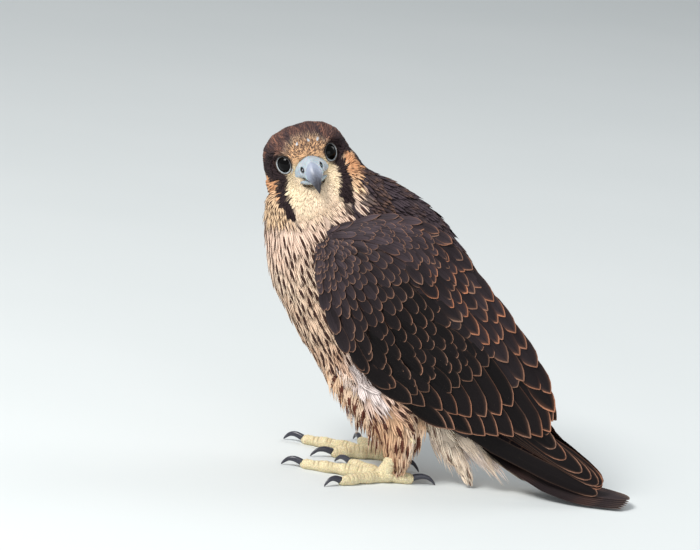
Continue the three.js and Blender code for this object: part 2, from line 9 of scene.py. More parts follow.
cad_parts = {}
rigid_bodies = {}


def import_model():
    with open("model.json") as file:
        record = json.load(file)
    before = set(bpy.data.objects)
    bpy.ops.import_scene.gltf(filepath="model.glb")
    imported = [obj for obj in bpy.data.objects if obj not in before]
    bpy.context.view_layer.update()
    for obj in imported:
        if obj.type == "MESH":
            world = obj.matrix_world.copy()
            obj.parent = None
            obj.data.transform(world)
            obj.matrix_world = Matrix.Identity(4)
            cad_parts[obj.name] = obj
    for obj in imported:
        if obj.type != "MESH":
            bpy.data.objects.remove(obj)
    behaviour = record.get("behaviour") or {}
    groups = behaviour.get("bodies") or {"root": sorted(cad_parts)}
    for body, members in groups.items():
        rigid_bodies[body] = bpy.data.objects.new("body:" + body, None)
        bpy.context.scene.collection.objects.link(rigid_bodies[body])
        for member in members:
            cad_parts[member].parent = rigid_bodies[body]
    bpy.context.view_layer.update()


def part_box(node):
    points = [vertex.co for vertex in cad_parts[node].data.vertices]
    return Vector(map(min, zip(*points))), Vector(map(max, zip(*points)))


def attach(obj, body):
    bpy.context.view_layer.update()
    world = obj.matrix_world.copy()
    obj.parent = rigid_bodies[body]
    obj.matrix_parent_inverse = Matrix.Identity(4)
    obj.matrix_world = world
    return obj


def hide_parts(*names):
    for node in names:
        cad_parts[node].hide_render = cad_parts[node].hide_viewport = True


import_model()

# The bird's own frame, in millimetres: the breast faces -Y, its left side is +X, the floor is Z = 0.
HEAD_AT = np.array([8, -76.2, 229.1])
HEAD_FORWARD = np.array([0.9512, 0.3084, 0.0093])
HEAD_UP = np.array([0.1019, -0.3426, 0.9339])
HEAD_SETTLE = np.array([0.2, 1.9, -2.1])  # how the head sits on the feathered neck
EYE_CENTRE = (14.3, 4.4, 2.4)
EYE_AXIS = (0.67, 0.74, 0.03)
EYE_RADIUS = 8.0
EYE_OPENING = 5.9

# Torso and neck, from the tail up: belly y z, back y z, half width, height of the widest place, squareness
TRUNK = np.array([
    [76, 50, 88, 62, 8, 0.5, 1],
    [58, 41, 94, 74, 17, 0.5, 0.95],
    [24, 37, 92, 91, 26, 0.48, 0.9],
    [-14, 46, 86, 110, 32, 0.46, 0.88],
    [-40, 66, 78, 132, 35.5, 0.46, 0.88],
    [-61.5, 88, 65, 156, 38, 0.46, 0.88],
    [-78, 110, 49, 178, 39, 0.46, 0.88],
    [-92, 132, 29, 199, 39, 0.46, 0.88],
    [-99, 154, 5, 214, 37.5, 0.47, 0.88],
    [-103, 172, -19, 224, 34.5, 0.48, 0.9],
    [-103, 187, -37, 233, 29, 0.49, 0.92],
    [-98, 197, -48, 236, 21, 0.5, 0.95],
])

# Bill and lower bill in the head's frame: the same, with lower edge for belly and upper edge for back
BILL = np.array([
    [13, -9.6, 16.5, 8.0, 15.2, 0.12, 1.3],
    [19, -9.3, 20.5, 6.9, 12.9, 0.2, 1.35],
    [23.4, -9.0, 25, 5.4, 9.6, 0.27, 1.3],
    [27, -8.8, 29.2, 2.4, 7.6, 0.3, 1.25],
    [29.8, -9.3, 33.2, -1.6, 6.0, 0.32, 1.1],
    [32, -10.8, 36, -6.4, 4.5, 0.36, 1],
    [34.4, -13.2, 37.5, -11.4, 3.0, 0.42, 1],
    [36.2, -16.2, 38, -15.6, 1.5, 0.5, 1],
    [37.2, -18.9, 37.9, -18.8, 0.35, 0.5, 1],
])
HORN_FROM = (0.33, 0.56)  # where the horn begins along the bill, on the ridge and at the edges
CERE_LAP, HORN_LAP = 0.01, 0.05  # how far the cere reaches over the horn, and the horn under the cere
NOSTRIL = (7.3, -1.1)
LOWER_BILL = np.array([
    [12, -14.6, 14, -9.4, 14.6, 0.8, 1],
    [19, -14.4, 21, -9.1, 11, 0.75, 1],
    [25, -13.8, 26, -9.2, 7.4, 0.7, 1],
    [29.2, -12.6, 29.6, -10.2, 3.2, 0.6, 1],
])

# The folded wing's sheet: place along it, lower edge x y z, upper edge x y z, bulge
WING = np.array([
    [-0.03, 38.5, -53, 170, 36.5, -44, 179, 0.5],
    [0.0, 40, -52, 158, 37, -34, 185, 4],
    [0.07, 44, -47, 137, 33, -6, 194, 8],
    [0.17, 46, -31, 108, 26, 24.5, 188.5, 10],
    [0.3, 45, -7, 81, 21, 51.5, 165, 10.5],
    [0.42, 41, 22, 66, 18, 75.5, 141, 10],
    [0.55, 34.5, 54, 49, 15.5, 99.5, 112.5, 7],
    [0.68, 28, 88, 35, 14, 122, 84, 4],
    [0.82, 22, 126, 22.5, 12.5, 146, 53, 2],
    [1.0, 14.5, 174.5, 9.5, 10.5, 177, 21, 0.5],
])
TUCK = 9.0  # how much lower the right wing lies along the back
WING_AHEAD = np.array([-0.13, 0.81, -0.57])

TAIL_LINE = np.array([
    [0, 70, 52], [0, 92, 38], [0, 114, 26.5], [0, 136, 17.5], [0, 160, 12.8], [0, 196, 11.2],
])
TAIL_ROLL = 0.2
TAIL_FEATHERS = 12
TAIL_SPACING = (1.2, 2.3)  # between the middles of neighbours, at their roots and tips
TAIL_LAYER = 0.3  # how far each tail feather lies under the one above

FEET = {
    "left": dict(side=1, ball=(33, 15), ankle=(32, 33, 38), turn=-0.02),
    "right": dict(side=-1, ball=(-30, 2), ankle=(-29, 23, 38), turn=0.2),
}
TOES = {
    "middle": dict(turn=-0.02, length=64, root=5, end=3.9, claw=15, arch=0.9),
    "inner": dict(turn=-0.66, length=39, root=5, end=4.1, claw=17, arch=1.2),
    "outer": dict(turn=0.84, length=42, root=4.7, end=3.7, claw=14, arch=0.9),
    "hind": dict(turn=math.pi + 0.35, length=23, root=4.8, end=4.1, claw=18, arch=0.8),
}
SCUTE = 3.1  # length of a scale across a toe
FLOOR_BITE = 0.4  # how far the toes are pressed flat
FLOOR_GAP = 0.02  # the lowest that a foot reaches


def unit(v):
    return v / np.maximum(np.linalg.norm(v, axis=-1, keepdims=True), 1e-9)


HEAD_FORWARD = unit(HEAD_FORWARD)
HEAD_LEFT = unit(np.cross(HEAD_UP, HEAD_FORWARD))
HEAD_UP = unit(np.cross(HEAD_FORWARD, HEAD_LEFT))
HEAD_AXES = np.array([HEAD_LEFT, HEAD_FORWARD, HEAD_UP])


def on_head(p):
    return HEAD_AT + np.asarray(p, float) @ HEAD_AXES


def in_head(p):
    return (np.asarray(p, float) - HEAD_AT) @ HEAD_AXES.T


EYE_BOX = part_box("left_eye")
SHIFT = 1000 * np.array((Vector(EYE_BOX[0]) + Vector(EYE_BOX[1])) / 2) - on_head(EYE_CENTRE)
HEAD_AT = HEAD_AT + HEAD_SETTLE


def to_row(p):
    return (np.asarray(p, float) + SHIFT) / 1000


def from_row(p):
    return np.asarray(p, float) * 1000 - SHIFT


# Interpolation and measures


def lerp(a, b, t):
    return a + (b - a) * t


def mirrored(side, p):
    """Points given for the left side, turned over for the right one."""
    return np.array([side, 1, 1]) * p


def away_from(points, middle):
    return np.linalg.norm(points - np.array(middle), axis=1)


def off_axis(offset, axis):
    """How far points lie along an axis, and how far from it."""
    high = offset @ axis
    return high, np.linalg.norm(offset - high[:, None] * axis, axis=1)


def ease(low, high, x):
    t = np.clip((x - low) / (high - low), 0, 1)
    return t * t * (3 - 2 * t)


def between(rows, t):
    """Smooth rows at places t, from 0 at the first to 1 at the last."""
    rows = np.asarray(rows, float)
    last = len(rows) - 1
    x = np.clip(np.asarray(t, float), -0.1, 1.1) * last
    i = np.clip(np.floor(x).astype(int), 0, last - 1)
    f = (x - i)[..., None]
    a, b, d, e = (rows[np.clip(i + k, 0, last)] for k in (-1, 0, 1, 2))
    cubic = 2 * a - 5 * b + 4 * d - e
    return 0.5 * (2 * b + (d - a) * f + cubic * f**2 + (3 * b - a - 3 * d + e) * f**3)


def between_at(rows, place):
    """The same for rows that start with the place at which they hold."""
    last = len(rows) - 1
    place = np.asarray(place, float)
    i = np.clip(np.searchsorted(rows[:, 0], place) - 1, 0, last - 1)
    f = np.clip((place - rows[i, 0]) / (rows[i + 1, 0] - rows[i, 0]), -0.2, 1.2)
    return between(rows[:, 1:], (i + f) / last)


# Meshes


def mesh_piece(name, points, faces, material):
    """A piece from points in the bird's frame and faces, four corners each (a triangle repeats its last)."""
    mesh = bpy.data.meshes.new(name)
    points = to_row(points)
    faces = np.asarray(faces)
    mesh.vertices.add(len(points))
    mesh.vertices.foreach_set("co", points.astype(np.float32).ravel())
    mesh.loops.add(faces.size)
    mesh.loops.foreach_set("vertex_index", faces.astype(np.int32).ravel())
    mesh.polygons.add(len(faces))
    size = faces.shape[1]
    mesh.polygons.foreach_set("loop_start", np.arange(0, faces.size, size, dtype=np.int32))
    mesh.polygons.foreach_set("loop_total", np.full(len(faces), size, dtype=np.int32))
    mesh.polygons.foreach_set("use_smooth", np.full(len(faces), True))
    mesh.update()
    mesh.validate()
    piece = bpy.data.objects.new(name, mesh)
    bpy.context.scene.collection.objects.link(piece)
    mesh.materials.append(material)
    return piece


def select_only(*pieces):
    bpy.ops.object.select_all(action="DESELECT")
    for piece in pieces:
        piece.select_set(True)
    bpy.context.view_layer.objects.active = pieces[0]


def tube_faces(rings, sides):
    """Quads of a closed run of rings, with fans of quads over its two ends."""
    k = np.arange(sides)
    quads = []
    for i in range(rings - 1):
        a, b = i * sides + k, i * sides + (k + 1) % sides
        quads.append(np.stack([a, b, b + sides, a + sides], 1))
    first = np.arange(0, sides // 2 - 1)
    cap = np.stack([first, first + 1, sides - 2 - first, sides - 1 - first], 1)
    quads.append(cap[:, ::-1])
    quads.append(cap + (rings - 1) * sides)
    return np.concatenate(quads)


def outward(points, faces):
    """Faces turned so that their volume is positive."""
    a, b, c, d = (points[faces[:, k]] for k in range(4))
    volume = np.sum(a * np.cross(b, c)) + np.sum(a * np.cross(c, d))
    return faces if volume > 0 else faces[:, ::-1]


def corner_points(mesh):
    """The number of the point at each corner of each face."""
    corner = np.empty(len(mesh.loops), dtype=np.int32)
    mesh.loops.foreach_get("vertex_index", corner)
    return corner


def note_points(piece, name, values):
    """A number for each point, which the piece's material reads."""
    layer = piece.data.attributes.new(name, "FLOAT", "POINT")
    layer.data.foreach_set("value", np.asarray(values, np.float32).ravel())


def settle(piece, slot, *nodes):
    """The piece moves with the body and stands for the nodes, which it hides; the slot is not used."""
    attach(piece, "root")
    if nodes:
        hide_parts(*nodes)


def closed_tube(name, points, material, slot, *nodes):
    """A piece from rings of points, closed at both ends."""
    rings, sides = points.shape[:2]
    points = points.reshape(-1, 3)
    faces = outward(points - points.mean(0), tube_faces(rings, sides))
    piece = mesh_piece(name, points, faces, material)
    settle(piece, slot, *nodes)
    return piece


def around(sides):
    """Angles round a ring, with no point at its very top or bottom."""
    return 2 * np.pi * (np.arange(sides) + 0.5) / sides


def loft(rows, t, turn):
    """Rings across a body at places t, from lower and upper points in its middle plane and a half width."""
    low_y, low_z, high_y, high_z, wide, high, power = np.moveaxis(between(rows, t), -1, 0)
    c, s = np.cos(turn), np.sin(turn)
    share = np.where(c > 0, high * (1 - c), high - (1 - high) * c)
    x = np.sign(s) * np.abs(s) ** power * wide
    return np.stack([x, lerp(low_y, high_y, share), lerp(low_z, high_z, share)], -1)


def limb(line, half_wide, half_high, sides, closed, least, up=(0, 0, 1), relief=0.0):
    """Rings across a line, with relief on them, rounded off at both ends and flat on the floor."""
    u = np.linspace(0, 1, len(line))
    ends = np.sqrt(np.clip(np.minimum(u, 1 - u) / closed, least, 1))[:, None]
    ahead = unit(np.gradient(line, axis=0))
    side = unit(np.cross(ahead, up))
    top = np.cross(side, ahead)
    turn = around(sides)
    wide = (half_wide[:, None] + relief) * ends * np.cos(turn)
    high = (half_high[:, None] + relief) * ends * np.sin(turn)
    points = line[:, None] + side[:, None] * wide[..., None] + top[:, None] * high[..., None]
    return np.maximum(points, (-np.inf, -np.inf, FLOOR_GAP))


# Feathers: each vane is a thin closed leaf; share is its half width at places from root to tip

LEAF = dict(
    broad=((0, 0.35), (0.2, 0.75), (0.5, 1), (0.74, 0.95), (0.88, 0.74), (0.96, 0.45), (1, 0.08)),
    strap=(
        (0, 0.45), (0.15, 0.8), (0.35, 0.95), (0.6, 1), (0.77, 0.92), (0.86, 0.73),
        (0.93, 0.45), (0.975, 0.2), (1, 0.04),
    ),
    quill=(
        (0, 0.45), (0.2, 0.85), (0.5, 1), (0.78, 0.98), (0.88, 0.88), (0.94, 0.72),
        (0.975, 0.5), (0.992, 0.27), (1, 0.05),
    ),
    fan=((0, 0.35), (0.25, 0.75), (0.5, 1), (0.78, 0.95), (1, 0.8)),
)
FAN_ALONG = np.array([v for v, _ in LEAF["fan"]])
BLADE_COLUMNS = np.array([-1, -0.55, 0, 0.55, 1, 0.55, 0, -0.55])
TUFT_COLUMNS = np.array([-1, 0, 1, 0])
TUFT_TAPER = np.array([0.75, 1, 1, 0.72, 0.06])
TUFT_DROOP = 0.15  # how far a tuft's outer strands hang below its middle one, of its half width
ATLAS_MARGIN = 0.08  # of a feather's cell in the map that is baked
COAT_PATCH = 0.003  # size of a small feather's place in that map
COLOUR_MARKS = ("tint", "mark", "fringe", "kind")


def slide(rows, low, part):
    """Values between rows low and low + 1."""
    first = np.take_along_axis(rows, low[..., None], 1)
    return first * (1 - part) + np.take_along_axis(rows, low[..., None] + 1, 1) * part


class Plumage:
    """Feathers gathered for one piece, with what its material reads."""

    def __init__(self, name, atlas=False):
        self.name, self.atlas = name, atlas
        self.store = {key: [] for key in ("points", "faces", "vane", "spot", "measure", *COLOUR_MARKS)}
        self.count, self.feathers = 0, 0

    def leaf(
        self, line, side, out, half, share, along, columns, thick, camber,
        looks, spot, length, wide, across=0.0,
    ):
        """Leaves over rows of points, each at its own place across a vane of half width wide."""
        n, rows = line.shape[:2]
        reach = half[:, None] * share[None, :]
        x = reach[..., None] * columns
        top = np.arange(len(columns)) <= len(columns) // 2
        body = thick * (0.35 + 0.65 * share)[None, :, None] * (1 - np.abs(columns) ** 3)
        rise = np.where(top, 0.5, -0.5) * body - camber * np.abs(columns) ** 1.6 * reach[..., None]
        points = line[:, :, None] + side[:, :, None] * x[..., None] + out[:, :, None] * rise[..., None]
        k = len(columns)
        faces = tube_faces(rows, k)
        sample = points[0].reshape(-1, 3)
        faces = outward(sample - sample.mean(0), faces)
        shift = (np.arange(n) * rows * k)[:, None, None] + self.count
        from_shaft = x + (across * wide)[:, None, None]
        tipward = ((1 - along)[None, :] * length[:, None])[..., None] + 0 * x
        edge = np.minimum(reach[..., None] - np.abs(x), tipward)
        u = 0.5 + 0.5 * from_shaft / wide[:, None, None]
        uv = np.stack([np.clip(u, 0, 1), np.broadcast_to(along[None, :, None], u.shape)], -1)
        store = self.store
        store["points"].append(points.reshape(-1, 3))
        store["faces"].append((faces[None] + shift).reshape(-1, 4))
        store["vane"].append(uv.reshape(-1, 2))
        store["spot"].append(np.repeat(spot, rows * k, axis=0))
        store["measure"].append(rgba(np.stack([np.abs(from_shaft), edge, tipward], -1)).reshape(-1, 4))
        for key in COLOUR_MARKS:
            each = np.broadcast_to(np.asarray(looks[key], float), (n, 4))
            store[key].append(np.repeat(each, rows * k, axis=0))
        self.count += n * rows * k

    def blades(self, line, side, out, half, leaf, looks, spot, length, thick=0.3, camber=0.1):
        """Whole vanes."""
        along, share = (np.array(a) for a in zip(*leaf))
        self.leaf(
            line, side, out, half, share, along, BLADE_COLUMNS, thick, camber, looks, spot, length, half,
        )
        self.feathers += len(line)

    def tufts(self, line, side, out, half, looks, spot, length, strands, draw, thick, ragged):
        """Soft vanes of a few strands, each with its own end, over lines with the rows of the fan leaf."""
        along, fan = (np.array(a) for a in zip(*LEAF["fan"]))
        rows, n = len(along), len(line)
        for k in range(strands):
            middle = (2 * (k + 0.5) / strands - 1) if strands > 1 else 0.0
            reach = (1 - 0.24 * middle**2) * draw.uniform(1 - ragged, 1.0, n)
            place = np.interp(along[None, :] * reach[:, None], along, np.arange(rows))
            low = np.clip(np.floor(place).astype(int), 0, rows - 2)
            part = (place - low)[..., None]
            at, aside, up = (slide(a, low, part) for a in (line, side, out))
            stray = draw.normal(0, 0.07, (n, 1)) * along[None, :] ** 2
            offset = (middle * fan[None, :] + stray) * half[:, None]
            droop = TUFT_DROOP * middle**2 * half[:, None] * fan
            at = at + aside * offset[..., None] - up * droop[..., None]
            own = half / strands * 1.35
            shade = dict(looks)
            shade["tint"] = np.clip(looks["tint"] * draw.uniform(0.9, 1.08, (n, 1)), 0, 1)
            self.leaf(
                at, aside, up, own, TUFT_TAPER, along, TUFT_COLUMNS, thick, 0.25,
                shade, spot, length, half, middle,
            )
        self.feathers += n

    def piece(self, material, smooth_angle=None):
        store = {key: np.concatenate(value) for key, value in self.store.items()}
        piece = mesh_piece(self.name, store["points"], store["faces"], material)
        mesh = piece.data
        corner = corner_points(mesh)
        if self.atlas:
            columns = math.ceil(math.sqrt(store["spot"][:, 0].max() + 1))
            cell = np.stack([store["spot"][:, 0] % columns, store["spot"][:, 0] // columns], -1)
            bake = (cell + lerp(ATLAS_MARGIN, 1 - ATLAS_MARGIN, store["vane"])) / columns
        else:
            bake = store["spot"] + (store["vane"] - 0.5) * COAT_PATCH
        for name, uv in (("OFBake", bake), ("vane", store["vane"])):
            layer = mesh.uv_layers.new(name=name)
            layer.data.foreach_set("uv", uv[corner].astype(np.float32).ravel())
        for name in (*COLOUR_MARKS, "measure"):
            layer = mesh.attributes.new(name, "FLOAT_COLOR", "POINT")
            layer.data.foreach_set("color", store[name].astype(np.float32).ravel())
        if smooth_angle:
            select_only(piece)
            bpy.ops.object.shade_smooth_by_angle(angle=math.radians(smooth_angle))
        return piece

    def numbers(self, n):
        """Consecutive numbers, one for each new feather, that place it in the atlas."""
        return np.stack([self.feathers + np.arange(n), np.zeros(n)], -1)


# Colours


def srgb(r, g, b):
    c = np.array([r, g, b]) / 255
    return np.where(c <= 0.04045, c / 12.92, ((c + 0.055) / 1.055) ** 2.4)


CREAM = srgb(240, 214, 188)
PINK_CREAM = srgb(242, 214, 200)
THROAT = srgb(246, 224, 188)
CHEEK_CREAM = srgb(242, 208, 170)
BELLY = srgb(220, 176, 146)
LEG_BUFF = srgb(216, 176, 140)
VENT_CREAM = srgb(250, 230, 208)
ORANGE_BUFF = srgb(222, 164, 120)
FOREHEAD = srgb(234, 188, 144)
FLUFF = srgb(240, 226, 222)
STREAK = srgb(70, 48, 42)
BROWN_MARK = srgb(98, 58, 46)
CROWN = srgb(72, 58, 60)
RUFOUS = srgb(158, 112, 92)
MALAR = srgb(42, 32, 34)
MANTLE = srgb(66, 56, 61)
WING_DARK = srgb(19, 14, 15)
FRINGE = srgb(146, 112, 94)
ORANGE_TIP = srgb(186, 126, 96)
TAIL_DARK = srgb(50, 42, 44)


def mix(a, b, t):
    return a + (b - a) * np.asarray(t)[..., None]


def rgba(values):
    """Sets of three numbers with a fourth, which the attributes of a mesh ask for."""
    values = np.asarray(values, float)
    return np.concatenate([values, np.ones_like(values[..., :1])], -1)


def trunk_place(points):
    """Where points lie on the body: along it from tail to neck, and from belly (0) to back (1)."""
    t = np.linspace(0, 1, 160)
    rows = between(TRUNK, t)
    low, high = rows[:, :2], rows[:, 2:4]
    run = high - low
    depth = np.linalg.norm(run, axis=1)
    way = run / depth[:, None]
    across = np.stack([-way[:, 1], way[:, 0]], 1)
    offset = points[:, None, 1:] - low[None]
    away = np.abs(np.einsum("nkc,kc->nk", offset, across))
    share = np.einsum("nkc,kc->nk", offset, way) / depth
    away = away + 200 * np.maximum(0, np.abs(share - 0.5) - 0.75)
    best = np.argmin(away, axis=1)
    pick = np.arange(len(points))
    return t[best], share[pick, best]


def trunk_lie(points):
    """The way the body's feathers lie, from the neck towards the tail."""
    t, share = trunk_place(points)
    ahead = between(TRUNK, t - 0.02) - between(TRUNK, t + 0.02)
    x = points[:, 0] / np.maximum(between(TRUNK, t)[:, 4], 5) * ahead[:, 4]
    y = lerp(ahead[:, 0], ahead[:, 2], share)
    z = lerp(ahead[:, 1], ahead[:, 3], share)
    return unit(np.stack([x, y, z], -1))


def noise(points, size, seed=0):
    """A smooth pattern between -1 and 1 that repeats nowhere near."""
    p = points / size + seed * 7.31
    total = 0
    for k, (a, b, c) in enumerate(((1, 1.7, 2.3), (2.1, -1.3, 0.7), (-1.6, 2.9, 1.9))):
        total = total + np.sin(p[..., 0] * a + p[..., 1] * b + p[..., 2] * c + k * 2.1)
    return total / 3


def band(x, low, high, soft=1.0):
    """1 between low and high, 0 outside, with soft edges."""
    return ease(low - soft, low + soft, x) * ease(high + soft, high - soft, x)


def ruff_edge(z):
    """How far to the side the left ruff reaches, at heights on the head."""
    return np.interp(z, [-46, -38, -35, -30, -25, -18, -10], [0, 11, 18.5, 24, 27.5, 30, 31.5])


def malar_stripe(x, y, z):
    """The dark stripe that runs down from each eye."""
    side = np.abs(x)
    right_middle = np.interp(z, [-33, -24, -13, -2, 2], [23.4, 22.4, 20.2, 18.6, 18.6])
    left_middle = np.interp(z, [-33, -22, -12.5, -4, 2], [16, 17.6, 20.4, 19.2, 19])
    right_half = np.interp(z, [-35, -31, -24, -13, -2], [0.8, 2.6, 4.6, 2.8, 3.6])
    left_half = np.interp(z, [-35, -31, -24, -12.5, -4], [0.8, 3, 4.4, 3.8, 3.6])
    middle = np.where(x > 0, left_middle, right_middle)
    half = np.where(x > 0, left_half, right_half)
    ends = np.where(x > 0, ease(-35, -30, z), ease(-37, -33, z)) * ease(3.5, 0, z)
    return ease(half + 1.1, half - 1.1, np.abs(side - middle)) * ends * ease(-12, -4, y)


def folded(h):
    """Points of the head, those of its right half brought over to the left one."""
    return np.column_stack([np.abs(h[:, 0]), h[:, 1:]])


def head_colours(h, blotch, small):
    """Ground colour, mark colour and streak half width on the head."""
    x, y, z = h.T
    side = np.abs(x)
    brow = 19.3 - 0.031 * x**2 + 1.4 * small
    forehead = ease(2.5, -5.5, z - brow) * ease(3, 8, y) * ease(1, 5, z)
    behind_eye = ease(6.5, 1.5, y) * ease(-6, -1, z + 0.15 * y) * ease(14, 19, side)
    crown = ease(5, 9, z) * (1 - forehead)
    hood = np.clip(np.maximum(crown, behind_eye) + ease(-12, -20, y) * ease(-16, -6, z), 0, 1)
    stripe = malar_stripe(x + small, y, z + 1.2 * small)
    line = np.where(x > 0, 24, 22.5)
    cheek = ease(line - 1.5, line + 1.5, side) * ease(-1, -5, z) * (1 - stripe)
    low = ease(-14, -30, z)
    lores = ease(9, 13, y) * ease(19, 16, side) * band(z, -6, 6, 2)
    ground = mix(np.broadcast_to(THROAT, h.shape), CREAM, np.clip(0.3 + 0.5 * blotch + 0.4 * low, 0, 1))
    ground = mix(ground, mix(ORANGE_BUFF, CHEEK_CREAM, low), cheek)
    ground = mix(ground, srgb(196, 178, 140), lores * 0.7)
    rusty = np.clip(0.5 * ease(-7, 2, z - brow) + 0.2 * blotch, 0, 1)
    ground = mix(ground, mix(FOREHEAD, RUFOUS, rusty), forehead)
    warm = np.clip(0.28 + 0.4 * blotch + 0.45 * small, 0, 0.9) * ease(-14, 4, y + z)
    ground = mix(ground, mix(CROWN, RUFOUS, warm), hood)
    around_eye = ease(12.5, 9.5, away_from(folded(h), (21, 5, 2)))
    dark = np.clip(stripe + around_eye * ease(12, 7, y), 0, 1)
    rufous_edge = np.clip(ease(0.25, 0.6, stripe) - ease(0.6, 0.95, stripe), 0, 1)
    ground = mix(mix(ground, MALAR, dark), RUFOUS * 0.6, 0.4 * rufous_edge)
    streak = 0.28 * forehead + 0.3 * hood + cheek * (0.12 + 0.3 * low) + 0.05
    return ground, mix(CROWN, MALAR, 0.5 + 0 * x), streak


def plumage_at(points):
    """Size, colour and marks of the small feathers at points of the skin."""
    h = in_head(points)
    t, share = trunk_place(points)
    head = ease(46, 38, away_from(h, (0, -2, -8)))
    blotch = noise(points, 9)
    small = noise(points, 3.1, 3)
    edge = np.interp(
        t, [0, 0.2, 0.45, 0.62, 0.74, 0.85, 0.93, 1], [0.72, 0.66, 0.5, 0.5, 0.56, 0.68, 0.8, 0.84]
    )
    back = ease(edge - 0.04, edge + 0.05, share + 0.03 * small)
    beyond = h[:, 0] + 1.5 * small - ruff_edge(h[:, 2])
    nape = ease(-1, 2.5, beyond) * ease(-75, -62, h[:, 2])
    reach = np.linalg.norm(h, axis=1)
    hind_neck = ease(-9, -16, h[:, 1] + 2 * small) * ease(-54, -42, h[:, 2]) * ease(70, 58, reach)
    nape = np.maximum(nape, hind_neck * ease(-12, -20, h[:, 2]))
    throat_side = ease(66, 54, reach) * ease(-12, 0, h[:, 1])
    back = np.maximum(back * (1 - throat_side), nape)
    belly = ease(0.62, 0.25, t)
    leg = ease(62, 50, points[:, 2]) * (1 - back)
    vent = ease(24, 36, points[:, 1]) * ease(70, 55, points[:, 2]) * (1 - back)
    fluff = flank_fluff(points) * (1 - back)
    front = mix(CREAM, BELLY, np.clip(0.2 + 0.7 * belly + 0.3 * blotch, 0, 1))
    front = mix(front, PINK_CREAM, ease(0.6, 0.8, t) * 0.5)
    front = mix(front, LEG_BUFF, leg * 0.8)
    front = mix(front, VENT_CREAM, vent)
    front = mix(front, FLUFF, fluff)
    mantle = mix(MANTLE, WING_DARK, np.clip(0.15 + 0.35 * blotch, 0, 1))
    tint = mix(front, mantle, back)
    mark = mix(mix(STREAK, BROWN_MARK, leg), mantle * 0.7, back)
    fringe = mix(front, mix(MANTLE * 1.5, FRINGE, np.clip(0.6 + blotch, 0, 1)), back)
    streak = np.interp(t, [0.2, 0.5, 0.68, 0.78, 0.9], [1.5, 1.6, 1.55, 1.15, 0.8]) + 0.45 * leg
    streak = streak * (1 - back) * (1 - 0.75 * vent) * (1 - 0.85 * fluff)
    length = lerp(20, 16, back) * (1 - 0.3 * ease(0.75, 1.0, t)) * (1 + 0.22 * leg)
    width = lerp(8.4, 9.5, back) * (1 - 0.25 * ease(0.75, 1.0, t))
    face, head_mark, head_streak = head_colours(h, blotch, small)
    near_bill = ease(36, 10, away_from(h, (0, 23, 0)))
    tint, mark = mix(tint, face, head), mix(mark, head_mark, head)
    tipped = mix(mantle * 1.6, FRINGE, np.clip(0.25 + 0.8 * blotch, 0, 0.65))
    fringe = mix(mix(fringe, face, head), tipped, nape)
    stripe = malar_stripe(h[:, 0] + small, h[:, 1], h[:, 2] + 1.2 * small)
    tint = mix(mix(tint, MALAR, stripe), mantle, nape)
    streak = lerp(streak, head_streak, head) * (1 - nape)
    return dict(
        tint=rgba(np.clip(tint * (1 + 0.1 * small[:, None]), 0, 1)),
        mark=rgba(mark),
        fringe=rgba(fringe),
        kind=rgba(np.stack([streak, 0 * streak, 1.9 * back * (1 - head)], -1)),
        length=lerp(length, lerp(9, 4.3, near_bill), head),
        width=lerp(width, lerp(3.2, 1.1, near_bill), head),
        head=head,
        back=back,
        leg=leg,
    )


def flank_fluff(points):
    """The pale down that shows between the wing's lower edge and the belly."""
    x, y, z = points.T
    along = ease(-34, -20, y) * ease(20, 6, y)
    level = 74 - 0.95 * (y + 10)
    return along * ease(14, 5, np.abs(z - level)) * ease(8, 18, np.abs(x)) * ease(56, 66, z) * 0.95


# Materials


class Value:
    """A number in a material; arithmetic on it adds Math nodes."""

    def __init__(self, paint, socket):
        self.paint, self.socket = paint, socket

    def math(self, operation, *others):
        return self.paint.node("ShaderNodeMath", dict(operation=operation), dict(enumerate((self, *others))))

    def __add__(self, other):
        return self.math("ADD", other)

    def __sub__(self, other):
        return self.math("SUBTRACT", other)

    def __mul__(self, other):
        return self.math("MULTIPLY", other)

    def __rsub__(self, other):
        return (self * -1) + other

    __radd__, __rmul__ = __add__, __mul__

    def abs(self):
        return self.math("ABSOLUTE")

    def max(self, other):
        return self.math("MAXIMUM", other)

    def min(self, other):
        return self.math("MINIMUM", other)

    def above(self, low, high):
        """0 below low and 1 above high, smooth between."""
        settings = dict(interpolation_type="SMOOTHSTEP")
        return self.paint.node("ShaderNodeMapRange", settings, {0: self, 1: low, 2: high}, "Result")


